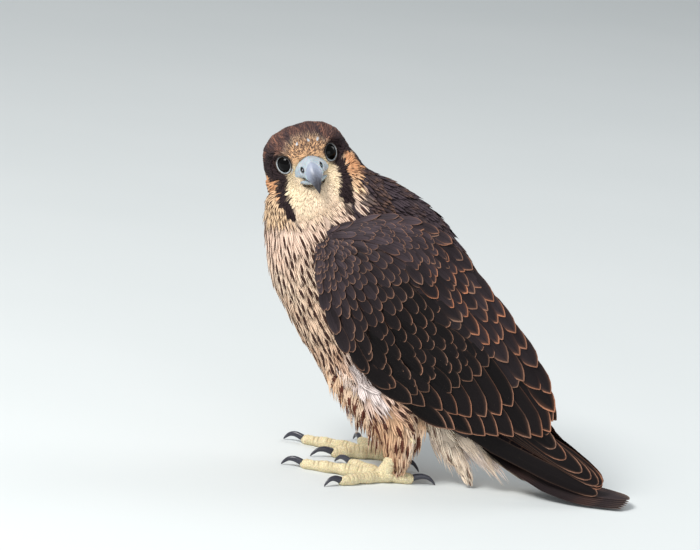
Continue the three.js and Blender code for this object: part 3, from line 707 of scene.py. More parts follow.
class Paint:
    """One material and its nodes."""

    def __init__(self, name, **constants):
        self.material = bpy.data.materials.new(name)
        self.material.use_nodes = True
        self.tree = self.material.node_tree
        self.shader = self.tree.nodes["Principled BSDF"]
        for key, value in constants.items():
            self.shader.inputs[key.replace("_", " ").title().replace("Ior", "IOR")].default_value = value

    def node(self, kind, settings=None, inputs=None, output=0):
        node = self.tree.nodes.new(kind)
        for key, value in (settings or {}).items():
            setattr(node, key, value)
        for key, value in (inputs or {}).items():
            socket = node.inputs[key]
            if isinstance(value, Value):
                self.tree.links.new(value.socket, socket)
            else:
                socket.default_value = value
        return Value(self, node.outputs[output])

    def feed(self, name, value):
        self.tree.links.new(value.socket, self.shader.inputs[name])

    def mixed(self, share, a, b):
        """Colours a and b mixed by share; each is a Value or an RGB."""
        inputs = {0: share}
        for key, colour in ((6, a), (7, b)):
            inputs[key] = colour if isinstance(colour, Value) else (*colour, 1)
        return self.node("ShaderNodeMix", dict(data_type="RGBA"), inputs, 2)

    def brighter(self, colour, factor):
        """A colour times a number."""
        return self.node("ShaderNodeVectorMath", dict(operation="SCALE"), {0: colour, 3: factor})

    def attribute(self, name, output="Color"):
        return self.node("ShaderNodeAttribute", dict(attribute_name=name), None, output)

    def parts(self, vector):
        node = self.tree.nodes.new("ShaderNodeSeparateXYZ")
        self.tree.links.new(vector.socket, node.inputs[0])
        return [Value(self, out) for out in node.outputs]

    def place(self, scale=1.0):
        """Object coordinates, in metres times scale."""
        where = self.node("ShaderNodeTexCoord", None, None, "Object")
        return self.brighter(where, scale)

    def noise(self, vector, scale, detail=2.0):
        inputs = {"Vector": vector, "Scale": scale, "Detail": detail}
        return self.node("ShaderNodeTexNoise", None, inputs, "Fac")

    def grain(self, scale, detail=3.0):
        """Noise through the piece, with so many waves a millimetre."""
        return self.noise(self.place(1000), scale, detail)

    def bump(self, height, distance, strength):
        inputs = {"Height": height, "Distance": distance, "Strength": strength}
        self.feed("Normal", self.node("ShaderNodeBump", None, inputs))


def feather_material(name, roughness, gloss, shaft, barbs, root_shade_low, root_shade_run):
    """Vanes with a dark streak along the shaft, bars and a pale rim, from each feather's own marks, and
    painted shade that darkens each vane towards its covered root.
    """
    p = Paint(name, roughness=roughness, specular_ior_level=gloss)
    u, v, _ = p.parts(p.node("ShaderNodeUVMap", dict(uv_map="vane")))
    streak, bars, rim = p.parts(p.attribute("kind"))
    shaft_away, edge_away, tip_away = p.parts(p.attribute("measure"))
    slant = {0: v * 30 - (u - 0.5).abs() * 14, 1: u * 4, 2: edge_away * 0.3}
    strands = p.noise(p.node("ShaderNodeCombineXYZ", None, slant), 1.6)
    ragged = p.grain(1.3, 2.0) - 0.5
    drop = (v - 0.28).above(0, 0.42) * (1 - v.above(0.84, 0.97))
    inside = streak * drop - shaft_away + ragged * 0.9 * streak
    streaked = inside.above(-0.2, 0.25) * streak.above(0.02, 0.06)
    wave = (v * 13 - shaft_away * 0.5).math("SINE")
    barred = (wave + ragged).above(0.35, 0.7) * bars
    colour = p.mixed(streaked.max(barred), p.attribute("tint"), p.attribute("mark"))
    at_tip = (1 - tip_away.above(4, 20)).min(v.above(0.6, 0.95))
    breadth = rim * (at_tip * 0.6 + 0.65)
    worn_away = edge_away + ragged * 0.6 * rim
    edge = (1 - worn_away.above(breadth * 0.25, breadth * 1.3)) * (at_tip * 0.75 + 0.25)
    edge = edge.max((1 - edge_away.above(0, rim * 3.6)) * (at_tip * 0.15 + 0.03))
    colour = p.mixed(edge * rim.above(0.01, 0.05), colour, p.attribute("fringe"))
    quill = (1 - shaft_away.above(0.12, 0.3)) * shaft
    colour = p.mixed(quill, colour, (0.012, 0.009, 0.008))
    # Barb grain times painted shade: each vane is darker towards its root, where the feather above covers it
    shade = (1 - barbs + strands * (2 * barbs)) * (root_shade_low + (1 - root_shade_low) * v.above(*root_shade_run))
    p.feed("Base Color", p.brighter(colour, shade))
    p.bump(strands * 0.7 - quill, 0.0002, 0.5)
    return p.material


def skin_material():
    p = Paint("skin_under_feathers", roughness=0.85, specular_ior_level=0.2)
    grain = p.grain(0.9)
    # The coat's own colour dimmed to roughly half: painted shade for the skin that shows in the gaps under
    # the feathers
    p.feed("Base Color", p.brighter(p.attribute("tint"), 0.45 + grain * 0.4))
    p.bump(grain, 0.0004, 0.6)
    return p.material


def horn_material():
    """Bill horn: pale blue-grey at the cere, darkening to the tip, with fine growth lines."""
    p = Paint("bill_horn", roughness=0.32, specular_ior_level=0.5)
    u, v, _ = p.parts(p.node("ShaderNodeUVMap", dict(uv_map="run")))
    grain = p.grain(0.7)
    lines = p.noise(p.node("ShaderNodeCombineXYZ", None, {0: v * 60, 1: u * 3}), 1.0)
    dark = (v + (grain - 0.5) * 0.25).above(0.1, 0.7)
    colour = p.mixed(dark, srgb(148, 156, 174), srgb(44, 42, 48))
    p.feed("Base Color", p.brighter(colour, 0.8 + lines * 0.4))
    p.feed("Roughness", 0.26 + lines * 0.2)
    p.bump(lines, 0.0001, 0.5)
    return p.material


def cere_material():
    p = Paint(
        "cere_skin", roughness=0.45, specular_ior_level=0.45, subsurface_weight=0.15, subsurface_scale=0.002,
    )
    pores = p.grain(1.6)
    broad = p.grain(0.25, 1.0)
    colour = p.mixed(broad, srgb(138, 150, 160), srgb(186, 196, 202))
    # Painted shade: near-black inside the nostril pits, where the shade number is high
    colour = p.mixed(p.attribute("shade", "Fac"), colour, srgb(34, 26, 26))
    p.feed("Base Color", p.brighter(colour, 0.85 + pores * 0.3))
    p.bump(pores, 0.0002, 0.7)
    return p.material


def lid_material(name, dark, pale):
    p = Paint(name, roughness=0.5, specular_ior_level=0.35)
    folds = p.grain(1.8)
    skin = p.mixed(folds.above(0.25, 0.6), dark, pale)
    # Painted shade: the lid skin darkened where the shade number is high
    p.feed("Base Color", p.mixed(p.attribute("shade", "Fac"), skin, srgb(52, 44, 44)))
    p.bump(folds, 0.0003, 0.8)
    return p.material


def eye_material():
    """Near-black brown iris round a black pupil, under a wet clear surface."""
    p = Paint("eye", roughness=0.05, specular_ior_level=0.12)
    v = p.parts(p.node("ShaderNodeUVMap", dict(uv_map="run")))[1]
    fleck = p.grain(1.2)
    iris = p.mixed(fleck, (0.005, 0.003, 0.002), (0.014, 0.008, 0.005))
    colour = p.mixed(v.above(0.22, 0.27), (0.002, 0.002, 0.002), iris)
    p.feed("Base Color", p.mixed(v.above(0.5, 0.6), colour, (0.004, 0.003, 0.003)))
    return p.material


def foot_material():
    """Scaled skin: pale yellow-green plates with dirt in the joints."""
    p = Paint(
        "foot_skin", roughness=0.55, specular_ior_level=0.35, subsurface_weight=0.08, subsurface_scale=0.002,
    )
    joint = p.attribute("joint", "Fac")
    inputs = {"Vector": p.place(1000), "Scale": 0.75}
    cells = p.node("ShaderNodeTexVoronoi", dict(feature="DISTANCE_TO_EDGE"), inputs)
    plates = cells.above(0.02, 0.14)
    grain = p.grain(0.35)
    fine = p.grain(2.5)
    colour = p.mixed(grain, srgb(224, 206, 158), srgb(248, 237, 202))
    groove = ((1 - plates) * 0.6).max(joint)
    colour = p.mixed(groove * 0.7, colour, srgb(140, 118, 84))
    p.feed("Base Color", p.brighter(colour, 0.85 + fine * 0.3))
    p.bump(plates * 0.6 - joint + fine * 0.2, 0.00035, 0.8)
    return p.material


def claw_material():
    p = Paint("claw_horn", roughness=0.28, specular_ior_level=0.5)
    grain = p.grain(0.8)
    colour = p.mixed(grain, srgb(30, 30, 36), srgb(72, 72, 84))
    p.feed("Base Color", colour)
    p.feed("Roughness", 0.22 + grain * 0.2)
    p.bump(grain, 0.0001, 0.4)
    return p.material


def floor_material():
    p = Paint("floor_pale", roughness=0.75, specular_ior_level=0.2)
    grain = p.noise(p.place(), 3.0)
    p.feed("Base Color", p.mixed(grain, srgb(214, 220, 221), srgb(220, 225, 226)))
    return p.material


# The last two numbers of each: the painted shade's brightness at a vane's root, and the run along the vane
# over which it lifts
SOFT = feather_material("soft_plumage", 0.85, 0.15, 0.0, 0.2, 0.6, (0.05, 0.6))
FACE = feather_material("face_plumage", 0.85, 0.15, 0.0, 0.16, 0.86, (0.0, 0.5))
FLIGHT = feather_material("flight_plumage", 0.6, 0.12, 0.5, 0.25, 0.6, (0.4, 0.95))

# The skin: the body's nodes joined, remeshed, smoothed and drawn in by the depth of the coat


def copy_of(name):
    source = next(o for o in bpy.data.objects if o.name == name and o.type == "MESH")
    piece = source.copy()
    piece.data = source.data.copy()
    bpy.context.scene.collection.objects.link(piece)
    select_only(piece)
    bpy.ops.object.transform_apply(location=True, rotation=True, scale=True)
    return piece


VOXEL = 0.0017
COAT_DEPTH = (2.4, 0.8)  # of the feathers on the body and on the head
FLESH = ("torso", "neck", "head", "left_thigh", "right_thigh", "vent_tuft")

# Fullness of cheeks and ruff over the bare skull: place in the head's frame, radius and height
FULLNESS = (
    ((31, 6, -16), 13, 3.0),
    ((-31, 6, -16), 13, 3.0),
    ((-34, 8, -24), 10, 1.8),
    ((33, 18, -24), 12, 4.5),
    ((-28, -6, 8), 14, 3.2),
    ((-24, -4, 20), 12, 2.6),
    ((20, -2, 22), 14, 1.2),
    ((0, 2, 28), 16, 1.2),
    ((46, 6, -12), 13, -6),
    ((26, -5, 13), 12, 3.4),
    ((29, -3, -2), 11, 3.6),
    ((-36, 4, -46), 15, -2.6),
    ((15.5, 12.5, 11), 4.5, 1.2),
    ((-15.5, 12.5, 11), 4.5, 1.2),
)
LOW_BELLY = ((20, -30, 66), (-20, -30, 66), (0, -30, 62), (27, -16, 56), (-27, -16, 56))


def shaped_skin(points, normals):
    """Fuller cheeks and low belly, and a hollow for each eye."""
    for middle in LOW_BELLY:
        away = away_from(points, middle)
        points = points + normals * (3.2 * np.exp(-((away / 17) ** 2)))[:, None]
    h = in_head(points)
    for middle, radius, high in FULLNESS:
        away = away_from(h, middle)
        points = points + normals * (high * np.exp(-((away / radius) ** 2)))[:, None]
    h = in_head(points)
    for side in (1, -1):
        axis = unit(mirrored(side, EYE_AXIS))
        high, away = off_axis(h - mirrored(side, EYE_CENTRE), axis)
        rim = 4.6 + np.clip(away - 7.0, 0, 9) * 0.75
        rim = np.where(away < 6.6, 1.0, rim)
        sink = np.where((high > 0) & (away < 12), np.maximum(high - rim, 0), 0)
        h = h - axis * (sink * ease(12, 8.5, away))[:, None]
    return on_head(h)


def make_skin():
    copies = [copy_of(name) for name in FLESH]
    for piece in copies:
        piece.parent = None
    head = copies[FLESH.index("head")]
    head.data.transform(Matrix.Translation(Vector(HEAD_SETTLE / 1000)))
    select_only(*copies)
    bpy.ops.object.join()
    skin = bpy.context.view_layer.objects.active
    skin.name = skin.data.name = "skin"
    for key in list(skin.keys()):
        del skin[key]
    remesh = skin.modifiers.new("joined", "REMESH")
    remesh.mode, remesh.voxel_size = "VOXEL", VOXEL
    bpy.ops.object.modifier_apply(modifier=remesh.name)
    soften = skin.modifiers.new("soften", "SMOOTH")
    soften.factor, soften.iterations = 0.5, 6
    bpy.ops.object.modifier_apply(modifier=soften.name)
    mesh = skin.data
    n = len(mesh.vertices)
    co, normal = np.empty(n * 3), np.empty(n * 3)
    mesh.vertices.foreach_get("co", co)
    mesh.vertices.foreach_get("normal", normal)
    points = from_row(co.reshape(-1, 3))
    looks = plumage_at(points)
    depth = lerp(*COAT_DEPTH, looks["head"])
    normal = normal.reshape(-1, 3)
    points = shaped_skin(points - normal * depth[:, None], normal)
    mesh.vertices.foreach_set("co", to_row(points).ravel())
    mesh.update()
    tint = mesh.attributes.new("tint", "FLOAT_COLOR", "POINT")
    tint.data.foreach_set("color", looks["tint"].astype(np.float32).ravel())
    mesh.materials.clear()
    mesh.materials.append(skin_material())
    mesh.polygons.foreach_set("use_smooth", np.ones(len(mesh.polygons), dtype=bool))
    settle(skin, "pale_plumage", *FLESH)
    return skin


skin = make_skin()
SKIN_TREE = BVHTree.FromObject(skin, bpy.context.evaluated_depsgraph_get())


def skin_triangles():
    mesh = skin.data
    mesh.calc_loop_triangles()
    tri = np.empty(len(mesh.loop_triangles) * 3, dtype=np.int32)
    mesh.loop_triangles.foreach_get("vertices", tri)
    co = np.empty(len(mesh.vertices) * 3)
    mesh.vertices.foreach_get("co", co)
    return from_row(co.reshape(-1, 3))[tri.reshape(-1, 3)]


def scatter(triangles, spacing, seed, keep):
    """Points spread over triangles, at least their own spacing apart."""
    draw = np.random.default_rng(seed)
    a, b, c = triangles.transpose(1, 0, 2)
    middle = (a + b + c) / 3
    area = np.linalg.norm(np.cross(b - a, c - a), axis=1) / 2
    area = area * keep(middle)
    weight = area / spacing(middle) ** 2
    total = int(weight.sum() * 2.6)
    pick = draw.choice(len(weight), total, p=weight / weight.sum())
    u, v = draw.random((2, total))
    flip = u + v > 1
    u[flip], v[flip] = 1 - u[flip], 1 - v[flip]
    points = a[pick] + (b - a)[pick] * u[:, None] + (c - a)[pick] * v[:, None]
    gaps = spacing(points)
    cell = gaps.max()
    grid, taken = {}, []
    for k, (p, gap) in enumerate(zip(points, gaps)):
        key = tuple((p // cell).astype(int))
        near = [
            q
            for dx in (-1, 0, 1)
            for dy in (-1, 0, 1)
            for dz in (-1, 0, 1)
            for q in grid.get((key[0] + dx, key[1] + dy, key[2] + dz), ())
        ]
        if all((p[0] - q[0]) ** 2 + (p[1] - q[1]) ** 2 + (p[2] - q[2]) ** 2 > gap * gap for q in near):
            grid.setdefault(key, []).append(p)
            taken.append(k)
    return points[taken]


def nearest_skin(points):
    rows = to_row(points)
    found = [SKIN_TREE.find_nearest(Vector(p)) for p in rows]
    place = from_row(np.array([f[0] for f in found]))
    return place, np.array([f[1] for f in found])


def lay_on_skin(roots, heading, lengths, along, free):
    """Lines that start at the roots and follow the skin, or leave it where free is 1."""
    place, normal = nearest_skin(roots)
    way = unit(heading - normal * np.sum(heading * normal, 1, keepdims=True))
    lines, outs, heads = [place], [normal], [way]
    for v0, v1 in zip(along, along[1:]):
        ahead = place + way * ((v1 - v0) * lengths)[:, None]
        found, fresh = nearest_skin(ahead)
        place = lerp(found, ahead, free[:, None])
        normal = unit(normal * 0.5 + lerp(fresh, normal, free[:, None]) * 0.5)
        way = unit(way - normal * np.sum(way * normal, 1, keepdims=True))
        lines.append(place)
        outs.append(normal)
        heads.append(way)
    return (np.stack(a, 1) for a in (lines, outs, heads))


def clear_of_eyes(roots, heading, lengths):
    """Lengths cut so that no feather lies over an eye."""
    lengths = lengths.copy()
    for side in (1, -1):
        axis = unit(mirrored(side, EYE_AXIS)) @ HEAD_AXES
        centre = on_head(mirrored(side, EYE_CENTRE))
        for _ in range(4):
            high, away = off_axis(roots + heading * lengths[:, None] - centre, axis)
            lengths = np.where((high > 0) & (away < 7.0), lengths * 0.65, lengths)
    return lengths


def lie_at(points):
    """The way feathers lie: back from the bill over the head, then down the neck and along the body."""
    body = trunk_lie(points)
    h = in_head(points)
    fan = h - np.array([0, 33, 1])
    fan = fan * np.array([0.7, 1, 0.85]) + np.array([0, -4, -5]) * ease(4, -20, h[:, 2:3])
    head = unit(fan) @ HEAD_AXES
    share = (1 - ease(30, 46, away_from(h, (0, -2, -2))))[:, None]
    lie = head * share + body * (1 - share)
    for foot in FEET.values():
        _, y = foot["ball"]
        low = ease(66, 44, points[:, 2:3]) * (1 - ease(24, 32, np.abs(points[:, 1:2] - y - 10)))
        low = low * ease(6, 12, points[:, 0:1] * foot["side"])
        lie = lie * (1 - low) + np.array([0, 0.1, -1]) * low
    vent = ease(36, 46, points[:, 1:2]) * ease(52, 40, points[:, 2:3])
    lie = lie * (1 - vent) + np.array([0, 0.5, -0.85]) * vent
    return unit(lie)


HEAD_MIDDLE = (0, -3, -5)


def spot_on_body(points):
    """Where each feather's patch goes on the body's own unwrapping."""
    t, share = trunk_place(points)
    h = in_head(points)
    head = away_from(h, HEAD_MIDDLE) < 38
    turn = np.where(points[:, 0] > 0, share, 1 - share) * 0.23 + np.where(points[:, 0] > 0, 0.24, 0)
    body = np.stack([0.02 + 0.46 * t, 0.02 + turn], -1)
    bearing = np.arctan2(h[:, 0], -h[:, 2]) / (2 * np.pi) + 0.5
    top = np.stack([0.52 + 0.44 * bearing, 0.02 + 0.44 * np.clip((h[:, 1] + 36) / 64, 0, 1)], -1)
    return np.clip(np.where(head[:, None], top, body), 0.004, 0.996)


SHORTEST_FEATHER = 1.3


def coat(
    name, seed, gap, keep, rise, strands=5, scale=1.0, ragged=0.16, free=0.0, slot="pale_plumage",
    recolour=None, paint=SOFT,
):
    """Small feathers over part of the skin, each row lying on the next."""

    def spacing(p):
        looks = plumage_at(p)
        return gap * np.sqrt(looks["length"] * looks["width"]) * scale

    roots = scatter(TRIANGLES, spacing, seed, keep)
    looks = plumage_at(roots)
    draw = np.random.default_rng(seed + 1)
    heading = unit(lie_at(roots) + draw.normal(0, 0.08, (len(roots), 3)))
    lengths = looks["length"] * scale * draw.uniform(0.85, 1.15, len(roots))
    lengths = clear_of_eyes(roots, heading, lengths)
    stay = lengths > SHORTEST_FEATHER
    roots, heading, lengths = roots[stay], heading[stay], lengths[stay]
    looks = {key: value[stay] for key, value in looks.items()}
    n = len(roots)
    bare = draw.random(n) < 0.18
    looks["kind"][bare, 0] *= 0.35
    dark = (draw.random(n) < 0.24) * looks["head"] * ease(0, 6, in_head(roots)[:, 2])
    looks["tint"] = mix(looks["tint"], looks["mark"], 0.48 * dark)
    if recolour is not None:
        recolour(roots, looks)
    wide = looks["width"] * scale * draw.uniform(0.85, 1.1, n)
    loose = np.clip(free + 0.5 * looks["leg"] * ease(46, 30, roots[:, 2]), 0, 1)
    lines, outs, heads = lay_on_skin(roots, heading, lengths, FAN_ALONG, loose)
    lift = lerp(*rise, FAN_ALONG[None, :] ** 0.8) * draw.uniform(0.8, 1.25, (n, 1))
    lift = lift * lerp(1.0, 0.5, looks["head"])[:, None]
    lines = lines + outs * lift[..., None]
    sides = unit(np.cross(heads, outs))
    plumes = Plumage(name)
    plumes.tufts(
        lines, sides, outs, wide / 2, looks, spot_on_body(roots), lengths, strands, draw,
        thick=0.28 * scale * lerp(1, 0.6, looks["head"].mean()), ragged=ragged,
    )
    settle(plumes.piece(paint), slot)


TRIANGLES = skin_triangles()


def under_wing(p):
    """1 where the body is open to view, close to 0 where a wing lies over it."""
    t, share = trunk_place(p)
    covered = ease(0.36, 0.44, share) * ease(0.9, 0.84, share) * ease(0.66, 0.6, t) * ease(0.1, 0.16, t)
    return 1 - covered * 0.9


def on_the_head(p):
    return away_from(in_head(p), HEAD_MIDDLE) < 41


def on_the_body(p, dark):
    """The pale or the dark part of the body, up to a little way under the head's feathers."""
    below = away_from(in_head(p), HEAD_MIDDLE) >= 39
    return below * ((plumage_at(p)["back"] >= 0.5) == dark) * under_wing(p)


def bare_face(p):
    """0 on the eyes, their lids and the bill's base."""
    h = in_head(p)
    open_eye = away_from(folded(h), (19, 9.2, 2.6)) > 7.2
    bill = (np.abs(h[:, 0]) > 10) | (h[:, 1] < 19) | (h[:, 2] > 6.5) | (h[:, 2] < -11.5)
    return (open_eye & bill).astype(float)


def ruff(p):
    """The full cheeks and the sides of the neck just below them."""
    h = in_head(p)
    x, y, z = h.T
    line = np.where(x > 0, 23.5, 26)
    low = np.where(x > 0, -38, -33)
    side = ease(line, line + 4, np.abs(x)) * ease(1.5, -1.5, x - ruff_edge(z))
    return side * ease(low - 3, low + 3, z) * ease(-7, -13, z) * ease(-22, -10, y) * ease(44, 34, y)


def forward_half(p):
    return in_head(p)[:, 1] > 2


def upper_breast(p):
    return trunk_place(p)[0] > 0.5


coat(
    "face_feathers", 5, 0.28,
    lambda p: on_the_head(p) * bare_face(p) * forward_half(p),
    (0.1, 1.0), strands=1, slot="head_plumage", paint=FACE,
)
coat(
    "crown_feathers", 7, 0.3,
    lambda p: on_the_head(p) * bare_face(p) * ~forward_half(p),
    (0.1, 1.6), strands=2, slot="head_plumage",
)


def ruff_colours(p, looks):
    """Orange buff at the cheek, paler and thinly streaked on the ruff's long tips."""
    h = in_head(p)
    low = ease(-8, -22, h[:, 2])
    tint = mix(ORANGE_BUFF, CHEEK_CREAM, low)
    looks["tint"], looks["fringe"], looks["mark"] = rgba(tint), rgba(tint), rgba(STREAK + 0 * tint)
    looks["kind"][:, 0], looks["kind"][:, 2] = 0.34 + 0.3 * low, 0
    stripe = malar_stripe(*h.T) > 0.5
    looks["tint"][stripe] = rgba(MALAR)


coat(
    "ruff_feathers", 9, 0.4,
    ruff,
    (0.3, 4.2), strands=3, scale=0.95, ragged=0.3, free=0.3, slot="head_plumage", recolour=ruff_colours,
)
coat(
    "breast_feathers", 11, 0.36,
    lambda p: on_the_body(p, dark=False) * upper_breast(p),
    (-0.3, 2.2),
)
coat(
    "belly_feathers", 13, 0.36,
    lambda p: on_the_body(p, dark=False) * ~upper_breast(p) * (p[:, 2] > 12),
    (-0.3, 2.4), ragged=0.25,
)
coat(
    "mantle_feathers", 17, 0.36,
    lambda p: on_the_body(p, dark=True),
    (-0.3, 2.2), strands=3, ragged=0.1, slot="dark_plumage",
)


def hanging_plumes(name, plumes, seed, pale, other, bars=0.0, streak=0.0, slot="pale_plumage"):
    """Long loose feathers: root, tip, half width and bow of each; every one is a spray of fine strands."""
    draw = np.random.default_rng(seed)
    gathered = Plumage(name)
    for root, tip, half, bow in plumes:
        root, tip = np.array(root, float), np.array(tip, float)
        length = np.array([np.linalg.norm(tip - root)])
        spot = spot_on_body(root[None])
        marked = streak * (draw.random() < 0.7)
        for layer in range(3):
            shift = draw.normal(0, 0.16, 3) * np.array([1, 0.6, 0.6]) * half
            ends = lerp(tip, root, 0.14 * layer) + shift
            line = lerp(root + shift * 0.3, ends, FAN_ALONG[:, None])
            line = line + np.outer(np.sin(np.pi * FAN_ALONG) * bow, [0, 0.5, 0.85])
            ahead = unit(np.gradient(line, axis=0))
            side = unit(np.cross(ahead, np.array([1.0, 0.15, 0.25])))
            out = np.cross(side, ahead)
            line = line + out * (layer - 1) * 0.14 * half
            tint = mix(pale, other, draw.random())
            looks = dict(
                tint=rgba(tint)[None], mark=rgba(BROWN_MARK)[None],
                fringe=rgba(tint)[None], kind=rgba([[marked, bars, 0.0]]),
            )
            gathered.tufts(
                line[None], side[None], out[None], np.array([half]), looks, spot, length, 16, draw,
                thick=0.05 * half, ragged=0.35,
            )
    settle(gathered.piece(SOFT), slot)


VENT_PLUMES = (
    ((10, 46, 44), (13, 70, 3), 6.5, 2), ((7, 52, 43), (10, 77, 3.5), 6.5, 2),
    ((13, 43, 44), (16, 62, 6), 6, 2), ((3, 50, 42), (4, 72, 6), 6, 2),
    ((-5, 48, 42), (-6, 70, 8), 6, 2), ((10, 56, 42), (13, 82, 9), 5.5, 1),
    ((15, 66, 42), (14, 101, 5), 5.5, 1), ((11, 70, 40), (9, 107, 4), 6, 1),
    ((17, 63, 42), (17, 94, 12), 5, 1), ((1, 68, 42), (1, 102, 9), 6, 1),
    ((-9, 66, 42), (-9, 98, 10), 6, 1),
)
hanging_plumes("vent_plumes", VENT_PLUMES, 61, VENT_CREAM, FLUFF, bars=0.2)
LEG_PLUMES = (
    ((20, -35, 82), (25, -31, 60), 6, 1), ((21, -32, 78), (27, -27, 52), 7, 1),
    ((23, -26, 74), (30, -20, 44), 7.5, 1), ((24, -18, 70), (32, -13, 38), 8, 0),
    ((26, -12, 66), (32, -8, 32), 8, 0), ((28, -5, 64), (33, -2, 25), 8, 0),
    ((30, 4, 62), (33, 5, 16), 8, 0), ((31, 9, 60), (33, 12, 11), 8, 0),
    ((31, 16, 58), (33, 17, 8), 8, 0), ((30, 22, 56), (32, 23, 4.5), 7.5, 0),
    ((29, 28, 54), (31, 30, 6), 7.5, 0), ((28, 33, 54), (31, 37, 13), 7, 0),
    ((31, 2, 50), (34, 3, 28), 7.5, 1), ((32, 11, 52), (34, 13, 26), 7.5, 1),
    ((32, 21, 50), (33, 24, 22), 7.5, 1), ((32, 17, 44), (31, 24, 7), 6, 1),
    ((29, 23, 40), (29, 30, 6), 6, 1), ((25, 4, 52), (27, 9, 16), 6, 0),
    ((26, 28, 44), (25, 33, 13), 5.5, 1), ((22, -4, 58), (23, 0, 28), 6, 0),
    ((-21, -32, 78), (-27, -27, 54), 7, 1), ((-24, -18, 70), (-32, -13, 42), 8, 0),
    ((-27, -10, 64), (-32, -7, 32), 8, 0), ((-30, -1, 58), (-32, 4, 15), 7, 0),
    ((-30, 6, 54), (-31, 11, 8), 7, 0), ((-29, 15, 52), (-30, 19, 9), 7, 0),
    ((-28, 23, 52), (-30, 27, 14), 6.5, 0), ((-24, -6, 54), (-26, 0, 20), 6, 0),
    ((-24, 3, 46), (-24, 8, 15), 6, 1), ((-25, 17, 44), (-26, 21, 12), 6, 1),
)
hanging_plumes("leg_plumes", LEG_PLUMES, 67, LEG_BUFF, CREAM, streak=4.6)
FLANK_PLUMES = (
    ((21, -26, 86), (29, -23, 63), 7, 1), ((22, -20, 84), (31, -17, 58), 7, 1),
    ((22, -13, 82), (33, -11, 56), 7, 1), ((23, -6, 80), (34, -4, 54), 7, 1),
    ((24, 1, 78), (35, 2, 53), 7, 1), ((25, 8, 74), (35, 9, 52), 7, 1),
    ((25, 14, 70), (34, 16, 51), 6.5, 1), ((-22, -22, 84), (-30, -19, 60), 7, 1),
    ((-22, -13, 80), (-32, -11, 56), 7, 1), ((-23, -5, 76), (-34, -4, 53), 7, 1),
    ((-24, 4, 72), (-34, 6, 50), 6.5, 1),
)
hanging_plumes("flank_down", FLANK_PLUMES, 69, FLUFF, CREAM)
WISP_ROOTS, _ = nearest_skin(on_head([(-6.2, 16, 15.4), (3.8, 16, 15.8), (9.6, 15, 14.8)]))
DOWN_WISPS = [
    (root, root + np.array([lean, 1.0, 3.8]) @ HEAD_AXES, 0.8, 0)
    for root, lean in zip(WISP_ROOTS, (1.6, -1.2, 2.0))
]
hanging_plumes("forehead_down", DOWN_WISPS, 71, srgb(236, 238, 242), srgb(214, 216, 222), slot="head_plumage")

# Wings


def outside(normal):
    """Unit normals that point away from the bird, on its left side."""
    out = unit(normal)
    return out * np.sign(out[..., :1])


def sheet(s, t, side):
    """Points of the left wing's surface, at places along and across it; side says which wing it will be."""
    row = between_at(WING, s)
    low, high, bulge = row[..., :3], row[..., 3:6], row[..., 6]
    tuck = TUCK * np.clip((1 - s) / 0.4, 0, 1) if side < 0 else 0 * s
    high = high - np.stack([0 * tuck, tuck * 0.6, tuck], -1)
    point = low + (high - low) * t[..., None]
    out = outside(np.cross(high - low, WING_AHEAD))
    swell = np.sin(np.pi * np.clip(t, 0, 1)) ** 0.8 * bulge
    return point + out * swell[..., None]


def wing_lines(roots, tips, lifts, leaf, side):
    """Lines over the wing's sheet from roots to tips, given as places along and across it."""
    v = np.array([a for a, _ in leaf])[None, :]
    s = lerp(roots[:, 0:1], tips[:, 0:1], v)
    t = lerp(roots[:, 1:2], tips[:, 1:2], v)
    step = 0.01
    at = sheet(s, t, side)
    along = sheet(s + step, t, side) - sheet(s - step, t, side)
    up = np.clip(t, 0, 1 - step) + step
    down = np.clip(t, step, 1) - step
    across = sheet(s, up, side) - sheet(s, down, side)
    out = outside(np.cross(along, across))
    lift = lerp(lifts[:, 0:1], lifts[:, 1:2], ease(0, 0.35, v) * 0.75 + 0.25 * v)
    at = at + out * lift[..., None]
    ahead = unit(np.gradient(at, axis=1))
    return [mirrored(side, a) for a in (at, ahead, out)]


def tilted(ahead, out, angle):
    side = unit(np.cross(ahead, out))
    out = unit(np.cross(side, ahead))
    angle = np.asarray(angle)
    return side * np.cos(angle) + out * np.sin(angle), out * np.cos(angle) - side * np.sin(angle)


def wing_looks(n, draw, rim, pale, orange):
    """Colours of wing feathers: pale lifts the ground towards the mantle's, orange warms the rims."""
    tint = np.clip(mix(WING_DARK, MANTLE, pale) * draw.uniform(0.65, 1.4, (n, 1)), 0, 1)
    warm = np.clip(mix(FRINGE, ORANGE_TIP, orange * draw.random(n)) * draw.uniform(0.7, 1.15, (n, 1)), 0, 1)
    kind = np.outer(rim * draw.uniform(0.75, 1.25, n), [0, 0, 1])
    return dict(tint=rgba(tint), mark=rgba(tint * 0.7), fringe=rgba(warm), kind=rgba(kind))


def tip_bow(t):
    """How much further back the feathers in the middle of the wing reach than those at its lower edge."""
    return 0.2 * (1 - np.exp(-t / 0.17)) - 0.02 * ease(0.6, 0.9, t)


# Flight feathers and great coverts: count, roots and tips as places on the sheet, lifts at root and tip,
# first and last width, rim in mm, tilt, leaf
TIERS = (
    (9, [[0.4, 0.1], [0.42, 0.5]],
     [[0.992, 0.04], [1.0, 0.78], [0.982, 0.62], [0.94, 0.59], [0.893, 0.56], [0.83, 0.6], [0.775, 0.7]],
     [[-5.2, -5.9], [-3.0, -1.4]], (14, 16), 0.6, -0.02, "quill"),
    (10, [[0.36, 0.05], [0.52, 0.86]],
     [[0.56, 0.02], [0.6, 0.06], [0.646, 0.15], [0.694, 0.27], [0.745, 0.46], [0.773, 0.66], [0.769, 0.88]],
     [[-2.2, 0.9], [-2.2, 0.9]], (17, 20), 0.95, -0.14, "strap"),
    (9, [[0.29, 0.05], [0.47, 0.74]],
     [[0.44, 0.03], [0.483, 0.07], [0.525, 0.15], [0.567, 0.2], [0.597, 0.28], [0.63, 0.39], [0.641, 0.56],
      [0.623, 0.76]],
     [[-1.8, 2.4], [-1.8, 2.4]], (16, 19), 0.8, -0.14, "strap"),
)
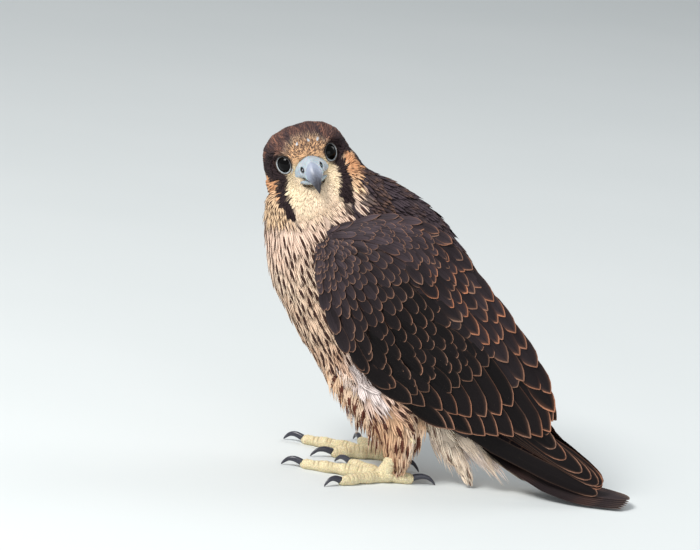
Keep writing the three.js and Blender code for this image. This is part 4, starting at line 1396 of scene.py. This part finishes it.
# Covert rows from the wrist to the middle of the wing: place, step, width and depth in mm, share of the bow;
# then the rows of scapulars along the upper edge
COVERT_PLACE = [-0.03, 0.03, 0.09, 0.17, 0.25, 0.33, 0.4]
COVERT_STEP = [2.4, 3.0, 4.6, 6.8, 7.6, 9.5, 13]
COVERT_WIDTH = [3.4, 4.4, 6.6, 9.4, 10.5, 12, 14]
COVERT_DEPTH = [30, 52, 70, 88, 94, 96, 96]
COVERT_BOW = [0.1, 0.2, 0.4, 0.7, 0.88, 0.96, 1]
SCAPULAR_PLACE = [0.03, 0.2, 0.32, 0.45, 0.75]
SCAPULAR_STEP = [4.6, 6.5, 9.5, 13.5, 18]
SCAPULAR_WIDTH = [4.6, 6.2, 8.5, 11.5, 14]
WING_LENGTH = 255


def make_wing(side, name):
    draw = np.random.default_rng(31 if side > 0 else 43)
    plumes = Plumage(name + "_feathers", atlas=True)

    def put(roots, tips, lifts, wide, leaf, rim, tilt, thick=0.4, camber=0.1, stray=(0.004, 0.006), warm=0.8):
        roots, tips, lifts = (np.asarray(a, float) for a in (roots, tips, lifts))
        n = len(tips)
        tips = tips + draw.normal(0, 1, (n, 2)) * np.array(stray)
        at, ahead, out = wing_lines(roots, tips, lifts, LEAF[leaf], side)
        across, out = tilted(ahead, out, side * (tilt + draw.normal(0, 0.03, (n, 1, 1))))
        length = np.linalg.norm(at[:, -1] - at[:, 0], axis=1)
        half = np.broadcast_to(wide, (n,)) / 2 * draw.uniform(0.92, 1.08, n)
        s, t = tips.T
        pale = ease(0.32, 0.04, s) * 0.8 + 0.4 * ease(0.6, 0.8, t) * ease(0.85, 0.4, s)
        looks = wing_looks(n, draw, rim, np.clip(pale, 0, 1), warm * ease(0.0, 0.35, s))
        plumes.blades(at, across, out, half, LEAF[leaf], looks, plumes.numbers(n), length, thick, camber)

    for count, roots, tips, lifts, (first, last), rim, tilt, leaf in TIERS:
        u = np.linspace(0, 1, count)
        put(between(roots, u), between(tips, u), between(lifts, u), lerp(first, last, u), leaf, rim, tilt)
    place, row = 0.333, 0
    while place > COVERT_PLACE[0]:
        step, wide, depth, bowed = (
            np.interp(place, COVERT_PLACE, a) for a in (COVERT_STEP, COVERT_WIDTH, COVERT_DEPTH, COVERT_BOW)
        )
        count = int(depth / (wide * 0.68))
        t = (np.arange(count) + 0.25 + 0.5 * (row % 2)) / count
        t = np.clip(t + draw.normal(0, 0.12 / count, count), 0.015, 0.985)
        tips = np.stack([place + tip_bow(t) * bowed, t], -1)[::-1]
        roots = tips - np.stack([np.full(count, 2.9 * step / WING_LENGTH), (tips[:, 1] - 0.5) * 0.06], -1)
        high = 3.4 + 0.6 * place
        lifts = np.tile([high - 2.2 - 3 * max(place, 0), high], (count, 1))
        leaf = "strap" if place > 0.3 else "broad"
        warm = 0.35 + 0.3 * ease(0.15, 0.0, place)
        rim = 0.46 + 0.8 * max(place, 0)
        put(roots, tips, lifts, wide * 1.08, leaf, rim, -0.14, 0.3, 0.2, (0.006, 0.01), warm)
        place -= step * 0.92 / WING_LENGTH
        row += 1
    place, row = 0.745, 0
    while place > SCAPULAR_PLACE[0]:
        step, wide = (np.interp(place, SCAPULAR_PLACE, a) for a in (SCAPULAR_STEP, SCAPULAR_WIDTH))
        low = np.interp(place, [0.03, 0.15, 0.3, 0.5, 0.62, 0.75], [0.8, 0.76, 0.74, 0.76, 0.88, 0.97])
        count = max(2, int((1.04 - low) * 118 / (wide * 0.62)))
        t = np.linspace(low, 1.02, count) + (0.03 if row % 2 else 0) - 0.01
        tips = np.stack([place - 0.1 * (1.0 - t) - 0.05 * (t > 1), t], -1)
        roots = tips - np.stack([np.full(count, 2.5 * step / WING_LENGTH), 0.1 * (t - 0.72)], -1)
        high = np.interp(place, [0, 0.3, 0.75], [5.4, 5.6, 3.4])
        lifts = np.tile([high - 4.5, high], (count, 1))
        rim = 0.1 + 2.2 * min(place, 0.45)
        put(roots, tips, lifts, wide * 1.1, "strap", rim, -0.1, 0.36, 0.2, (0.008, 0.014), 1.5)
        place -= step * 0.9 / WING_LENGTH
        row += 1
    settle(plumes.piece(FLIGHT, smooth_angle=70), "dark_plumage", name)


def wing_bed(side, name):
    """The wing's own surface under its feathers."""
    rings, across = 40, 14
    s = np.repeat(np.linspace(-0.03, 0.62, rings), across).reshape(rings, across)
    t = np.tile(np.linspace(0.01, 0.99, across), rings).reshape(rings, across)
    edge = np.sqrt(np.clip(np.minimum(t, 1 - t) / 0.12, 0.05, 1))
    edge = edge * np.sqrt(np.clip((s + 0.031) / 0.05, 0.05, 1))
    top = sheet(s, t, side)
    low, high = sheet(s, 0 * t, side), sheet(s, 0 * t + 1, side)
    out = outside(np.cross(high - low, WING_AHEAD))
    thick = lerp(7, 2.0, ease(0, 0.62, s))
    lift = np.interp(s, [0, 0.3, 0.5], [1.2, 0.4, -1.5]) - (1 - edge) * thick * 0.5
    upper = top + out * lift[..., None]
    under = top + out * (lift - 0.4 - thick * edge)[..., None]
    points = mirrored(side, np.concatenate([upper, under[:, ::-1]], 1))
    closed_tube(name + "_bed", points, BED, "dark_plumage")


def bed_material():
    p = Paint("wing_down", roughness=0.8, specular_ior_level=0.2)
    grain = p.grain(0.6)
    p.feed("Base Color", p.mixed(grain, srgb(30, 25, 26), srgb(58, 48, 46)))
    p.bump(grain, 0.0004, 0.6)
    return p.material


BED = bed_material()
for side, name in ((1, "left_wing"), (-1, "right_wing")):
    make_wing(side, name)
    wing_bed(side, name)

# Tail


def tail_lines(places, lifts, start, stop):
    """Lines along the tail, at places to either side of its middle, and the two ways across them."""
    v = np.array([a for a, _ in LEAF["strap"]])[None, :]
    u = lerp(start, stop, v) + 0 * places[:, None]
    line = between(TAIL_LINE, u)
    ahead = unit(between(TAIL_LINE, u + 0.01) - between(TAIL_LINE, u - 0.01))
    side = unit(np.cross(ahead, np.array([0, 0, 1.0])))
    out = np.cross(side, ahead)
    side, out = tilted(ahead, out, -TAIL_ROLL)
    at = line + side * (places[:, None] * lerp(*TAIL_SPACING, u))[..., None]
    lift = lerp(lifts[:, 0:1], lifts[:, 1:2], v)
    return at + out * lift[..., None], side, out


def make_tail():
    draw = np.random.default_rng(77)
    plumes = Plumage("tail_feathers", atlas=True)
    for i in range(TAIL_FEATHERS):
        place = np.array([i - (TAIL_FEATHERS - 1) / 2])
        depth = -3.6 - (2 * abs(place) - (place > 0)) * TAIL_LAYER
        tip = 1 - 0.0012 * float(place[0]) ** 2
        at, side, out = tail_lines(place, np.stack([depth, depth], -1), 0.02, tip)
        tint = TAIL_DARK * draw.uniform(0.85, 1.15)
        looks = dict(
            tint=rgba(tint), mark=rgba(mix(tint, RUFOUS, 0.35)),
            fringe=rgba(srgb(112, 94, 84)), kind=rgba([0.0, 0.3, 0.4]),
        )
        half, length = np.array([9.5]), np.array([190.0])
        plumes.blades(at, side, out, half, LEAF["strap"], looks, plumes.numbers(1), length, 0.35, 0.02)
    for face, stop in ((1, 0.44), (-1, 0.5)):
        for row in range(5):
            places = np.linspace(-6, 6, 6 + row % 2)
            low = 0.9 if face > 0 else -8.0
            lift = np.tile([low - 0.6, low + face * (1.2 + 0.25 * row)], (len(places), 1))
            end = stop - 0.08 * row
            at, side, out = tail_lines(places, lift, max(0.0, end - 0.26), end)
            ground = mix(TAIL_DARK, MANTLE, 0.5) if face > 0 else VENT_CREAM
            looks = dict(
                tint=rgba(ground), mark=rgba(STREAK), fringe=rgba(FRINGE if face > 0 else VENT_CREAM),
                kind=rgba([0.0, 0.0 if face > 0 else 0.6, 0.8]),
            )
            n = len(places)
            half, length = np.full(n, 7.5), np.full(n, 45.0)
            plumes.blades(
                at, side, out * face, half, LEAF["strap"], looks, plumes.numbers(n), length, 0.35, 0.08,
            )
    settle(plumes.piece(FLIGHT, smooth_angle=70), "dark_plumage", "tail")


make_tail()

# Bill, eyes and lids


def head_tube(name, points, material, slot, node):
    """A closed piece from rings in the head's frame, with a map along them (v) and around them (u)."""
    rings, sides = points.shape[:2]
    piece = closed_tube(name, on_head(points), material, slot, node)
    corner = corner_points(piece.data)
    uv = np.stack([(corner % sides) / sides, (corner // sides) / (rings - 1)], -1)
    piece.data.uv_layers.new(name="run").data.foreach_set("uv", uv.astype(np.float32).ravel())
    return piece


def bill_surface(edges, ridge, rings, sides):
    """Points of the bill between two places along it, given for its edges and for its ridge."""
    turn = around(sides)
    topness = ((1 - np.cos(turn)) / 2) ** 2.6
    start, stop = (lerp(a, b, topness) for a, b in zip(edges, ridge))
    return loft(BILL, lerp(start, stop, np.linspace(0, 1, rings)[:, None]), turn)


def make_cere():
    """Soft skin over the bill's root, swollen round open nostrils with a small cone in each."""
    rings, sides = 110, 180
    points = bill_surface((0, HORN_FROM[1] + CERE_LAP), (0, HORN_FROM[0] + CERE_LAP), rings, sides)
    middle = points.mean(1, keepdims=True)
    away = unit(points - middle)
    along = np.linspace(0, 1, rings)[:, None, None]
    lip = 0.42 * ease(0.55, 0.86, along) * ease(1.0, 0.95, along) - 0.5 * ease(0.97, 1.0, along)
    points = points + away * lip
    dark = np.zeros((rings, sides, 1))
    for side in (-1, 1):
        x, y, z = (points[..., k : k + 1] for k in range(3))
        rise = z - NOSTRIL[1]
        gap = np.hypot((side * x - NOSTRIL[0] + 0.15 * rise) / 1.1, rise / 2.1) + 9 * (y < 17)
        hole, cone = ease(1.15, 0.75, gap), ease(0.5, 0.1, gap)
        swell = 0.4 * np.exp(-((gap - 1.6) ** 2) / 0.2)
        points = points + away * swell - np.array([0.2 * side, 0.95, 0.1]) * (2.2 * hole - 1.5 * cone)
        # Painted shade deep in each nostril pit, lighter on its cone
        dark = np.maximum(dark, hole - cone * 0.8)
    note_points(head_tube("cere_skin", points, CERE, "cere_skin", "cere"), "shade", dark)


def make_upper_bill():
    """Horn with a small tooth behind the hooked tip."""
    rings, sides = 80, 64
    points = bill_surface((HORN_FROM[1] - HORN_LAP, 1), (HORN_FROM[0] - HORN_LAP, 1), rings, sides)
    tooth = 0.7 * np.exp(-(((np.arange(rings) / rings - 0.34) / 0.06) ** 2))
    low = np.clip(np.cos(around(sides)), 0, 1) ** 2
    points[..., 2] -= tooth[:, None] * low[None, :]
    head_tube("upper_bill_horn", points, HORN, "bill_horn", "upper_bill")


def make_lower_bill():
    points = loft(LOWER_BILL, np.linspace(0, 1, 30)[:, None], around(40))
    head_tube("lower_bill_horn", points, CERE, "bill_horn", "lower_bill")


HORN, CERE = horn_material(), cere_material()
make_cere()
make_upper_bill()
make_lower_bill()


def make_eye(side, name):
    """An eyeball whose clear front swells a little, turned to look along its axis, and the lids round it."""
    rings, sides = 40, 40
    axis, centre = unit(mirrored(side, EYE_AXIS)), mirrored(side, EYE_CENTRE)
    right = unit(np.cross(axis, [0, 0, 1.0]))
    up = np.cross(right, axis)
    angle = np.pi * (np.arange(rings) + 0.15) / (rings - 0.7)
    radius = EYE_RADIUS + 0.5 * np.exp(-((angle / 0.55) ** 2))
    ring = right * np.cos(around(sides))[:, None] + up * np.sin(around(sides))[:, None]
    points = axis * (radius * np.cos(angle))[:, None, None] + ring * (radius * np.sin(angle))[:, None, None]
    head_tube(name + "_ball", points + centre, EYE, "eye", name)
    steps, section = 64, 10
    t = 2 * np.pi * np.arange(steps) / steps
    arc = 2 * np.pi * np.arange(section) / section
    plane = math.sqrt(EYE_RADIUS**2 - EYE_OPENING**2)
    way = right * np.cos(t)[:, None] + up * np.sin(t)[:, None]
    k, m = np.meshgrid(np.arange(steps), np.arange(section), indexing="ij")
    a, b = k * section + m, ((k + 1) % steps) * section + m
    c, d = ((k + 1) % steps) * section + (m + 1) % section, k * section + (m + 1) % section
    faces = np.stack([a, b, c, d], -1).reshape(-1, 4)
    brow = np.clip(np.sin(t - side * 0.5) + 0.2, 0, 1) ** 0.6
    for label, paint, reach, low, fat in (
        ("lids", LIDS, 0.3, 0.1, 0.5),
        ("lid_folds", FOLDS, 1.2, -0.35, 0.6),
    ):
        shape = fat * (1 - 0.4 * brow) * (1 + 0.08 * np.sin(9 * t + 1) + 0.05 * np.sin(17 * t))
        r = EYE_OPENING * (1 - 0.02 * np.cos(2 * t))[:, None] + reach + shape[:, None] * np.cos(arc)
        h = plane + low + 0.85 * shape[:, None] * np.sin(arc)
        lid = on_head((way[:, None] * r[..., None] + axis * h[..., None]).reshape(-1, 3) + centre)
        piece = mesh_piece(f"{name}_{label}", lid, outward(lid - lid.mean(0), faces), paint)
        # Painted shade on the upper part of ring and fold, under the overhanging brow
        note_points(piece, "shade", np.repeat(0.9 * brow, section))
        settle(piece, "cere_skin")


EYE = eye_material()
LIDS = lid_material("eye_ring", srgb(120, 128, 134), srgb(190, 198, 202))
FOLDS = lid_material("eye_fold", srgb(44, 36, 36), srgb(120, 104, 92))
make_eye(1, "left_eye")
make_eye(-1, "right_eye")

# Feet


def smooth_line(points, count):
    return between(np.asarray(points, float), np.linspace(0, 1, count))


def toe_heading(foot, toe):
    turn = foot["side"] * (toe["turn"] + foot["turn"])
    return np.array([math.sin(turn), -math.cos(turn), 0])


def toe_points(foot, toe):
    u = np.array([0, 0.3, 0.65, 1])
    height = 0.9 * lerp(toe["root"], toe["end"], u) - FLOOR_BITE + np.sin(np.pi * u) ** 2 * toe["arch"]
    flat = np.outer(u * toe["length"], toe_heading(foot, toe))
    return np.array([*foot["ball"], 0]) + flat + np.outer(height, [0, 0, 1])


def scaled_limb(name, line, wide, high, scutes, *nodes, up=(0, 0, 1), closed=0.08):
    """A limb with scutes across its top and rounded pads beneath."""
    sides = 28
    u = np.linspace(0, 1, len(line))[:, None]
    top = ease(-0.2, 0.5, np.sin(around(sides)))
    phase = (u * scutes) % 1
    relief = 0.5 * (phase**0.7 - 0.5) * top + 0.45 * np.abs(np.sin(u * 3.4 * np.pi)) * (1 - top)
    points = limb(line, wide, high, sides, closed, 0.03, up, relief)
    piece = closed_tube(name, points, FOOT, "foot_skin", *nodes)
    note_points(piece, "joint", (phase < 0.16) * top)


def make_shank(name, foot):
    """The shank down to the ball of the foot, and the pad under it."""
    x, y = foot["ball"]
    ankle = foot["ankle"]
    middle = [lerp(x, ankle[0], 0.4), lerp(y, ankle[1], 0.35), 20]
    shank = smooth_line([[x, y - 1, 4], middle, ankle], 40)
    u = np.linspace(0, 1, 40)
    wide, high = lerp(5.2, 4.2, u), lerp(5.6, 4.8, u)
    scaled_limb(f"{name}_shank_scales", shank, wide, high, 14, f"{name}_shank", up=(0, 1, 0))
    ball = smooth_line([[x, y - 8, 4.8], [x, y, 5.2], [x, y + 8, 4.8]], 24)
    wide = np.full(24, 6.6)
    scaled_limb(f"{name}_sole_pad", ball, wide, wide * 0.86, 6, closed=0.45)


def make_toe(name, foot, toe):
    line = smooth_line(toe_points(foot, toe), 70)
    u = np.linspace(0, 1, 70)
    r = lerp(toe["root"], toe["end"], u) * (1 + 0.09 * np.cos(u * toe["length"] * 0.42))
    scutes = round(toe["length"] / SCUTE)
    scaled_limb(f"{name}_toe_scales", line, r * 0.92, r * 0.95, scutes, f"{name}_toe", closed=0.1)
    end, reach = toe_points(foot, toe)[3], toe["claw"]
    run = (
        (-2.5, 0.8), (0.25 * reach, 2.8), (0.58 * reach, 2.2), (0.82 * reach, -end[2] * 0.25),
        (0.92 * reach, -end[2] * 0.92),
    )
    claw = smooth_line([end + toe_heading(foot, toe) * a + np.array([0, 0, b]) for a, b in run], 30)
    u = np.linspace(0, 1, 30)
    points = limb(claw, lerp(2.0, 0.25, u**1.3), lerp(2.7, 0.25, u**1.2), 20, 0.05, 0.05)
    closed_tube(f"{name}_claw_horn", points, CLAW, "claw", f"{name}_claw")


FOOT, CLAW = foot_material(), claw_material()
for name, foot in FEET.items():
    make_shank(name, foot)
    for label, toe in TOES.items():
        make_toe(f"{name}_{label}", foot, toe)

# Floor, light and camera


def make_floor():
    bpy.ops.object.select_all(action="DESELECT")
    bpy.ops.mesh.primitive_plane_add(size=14, location=(0, 0, 0))
    floor = bpy.context.object
    floor.name = "floor"
    floor.data.materials.append(floor_material())


def add_light(name, place, aim, size, power, colour):
    light = bpy.data.objects.new(name, bpy.data.lights.new(name, "AREA"))
    light.data.size, light.data.energy, light.data.color = size, power, colour
    light.location = place
    light.rotation_euler = (Vector(aim) - Vector(place)).to_track_quat("-Z", "Y").to_euler()
    bpy.context.scene.collection.objects.link(light)


def make_light():
    add_light("key", (1.5, -1.2, 2.2), (0, 0, 0.12), 1.0, 80, (1.0, 0.98, 0.95))
    add_light("fill", (2.4, 1.6, 0.7), (0, 0, 0.08), 1.6, 17, (0.98, 0.98, 1.0))
    add_light("rim", (-1.6, 1.4, 1.8), (0, 0, 0.15), 1.2, 16, (1.0, 1.0, 1.0))
    world = bpy.data.worlds.new("studio")
    world.use_nodes = True
    sky = world.node_tree.nodes["Background"]
    sky.inputs["Color"].default_value = (0.82, 0.84, 0.86, 1)
    sky.inputs["Strength"].default_value = 0.55
    bpy.context.scene.world = world


AZIMUTH, ELEVATION, ROLL = (math.radians(a) for a in (98, 12, 7))
MM_PER_PIXEL = 0.75
FLOOR_PIXEL = (370, 468)
FRAME_SIZE = (700, 550)
LENS, SENSOR = 200, 36


def make_camera():
    a, e = AZIMUTH, ELEVATION
    back = np.array([math.sin(a) * math.cos(e), -math.cos(a) * math.cos(e), math.sin(e)])
    level = np.array([math.cos(a), math.sin(a), 0])
    upright = np.cross(back, level)
    right = level * math.cos(ROLL) + upright * math.sin(ROLL)
    up = upright * math.cos(ROLL) - level * math.sin(ROLL)
    aim = right * (FRAME_SIZE[0] / 2 - FLOOR_PIXEL[0]) * MM_PER_PIXEL
    aim = aim + up * (FLOOR_PIXEL[1] - FRAME_SIZE[1] / 2) * MM_PER_PIXEL
    distance = FRAME_SIZE[0] * MM_PER_PIXEL * LENS / SENSOR
    camera = bpy.data.objects.new("camera", bpy.data.cameras.new("camera"))
    camera.data.lens, camera.data.sensor_width = LENS, SENSOR
    camera.data.clip_end = 30
    turn = Matrix(np.stack([right, up, back], 1).tolist()).to_4x4()
    camera.matrix_world = Matrix.Translation(Vector(to_row(aim + back * distance))) @ turn
    bpy.context.scene.collection.objects.link(camera)
    bpy.context.scene.camera = camera


make_floor()
make_light()
make_camera()
bpy.context.scene.view_settings.view_transform = "Standard"
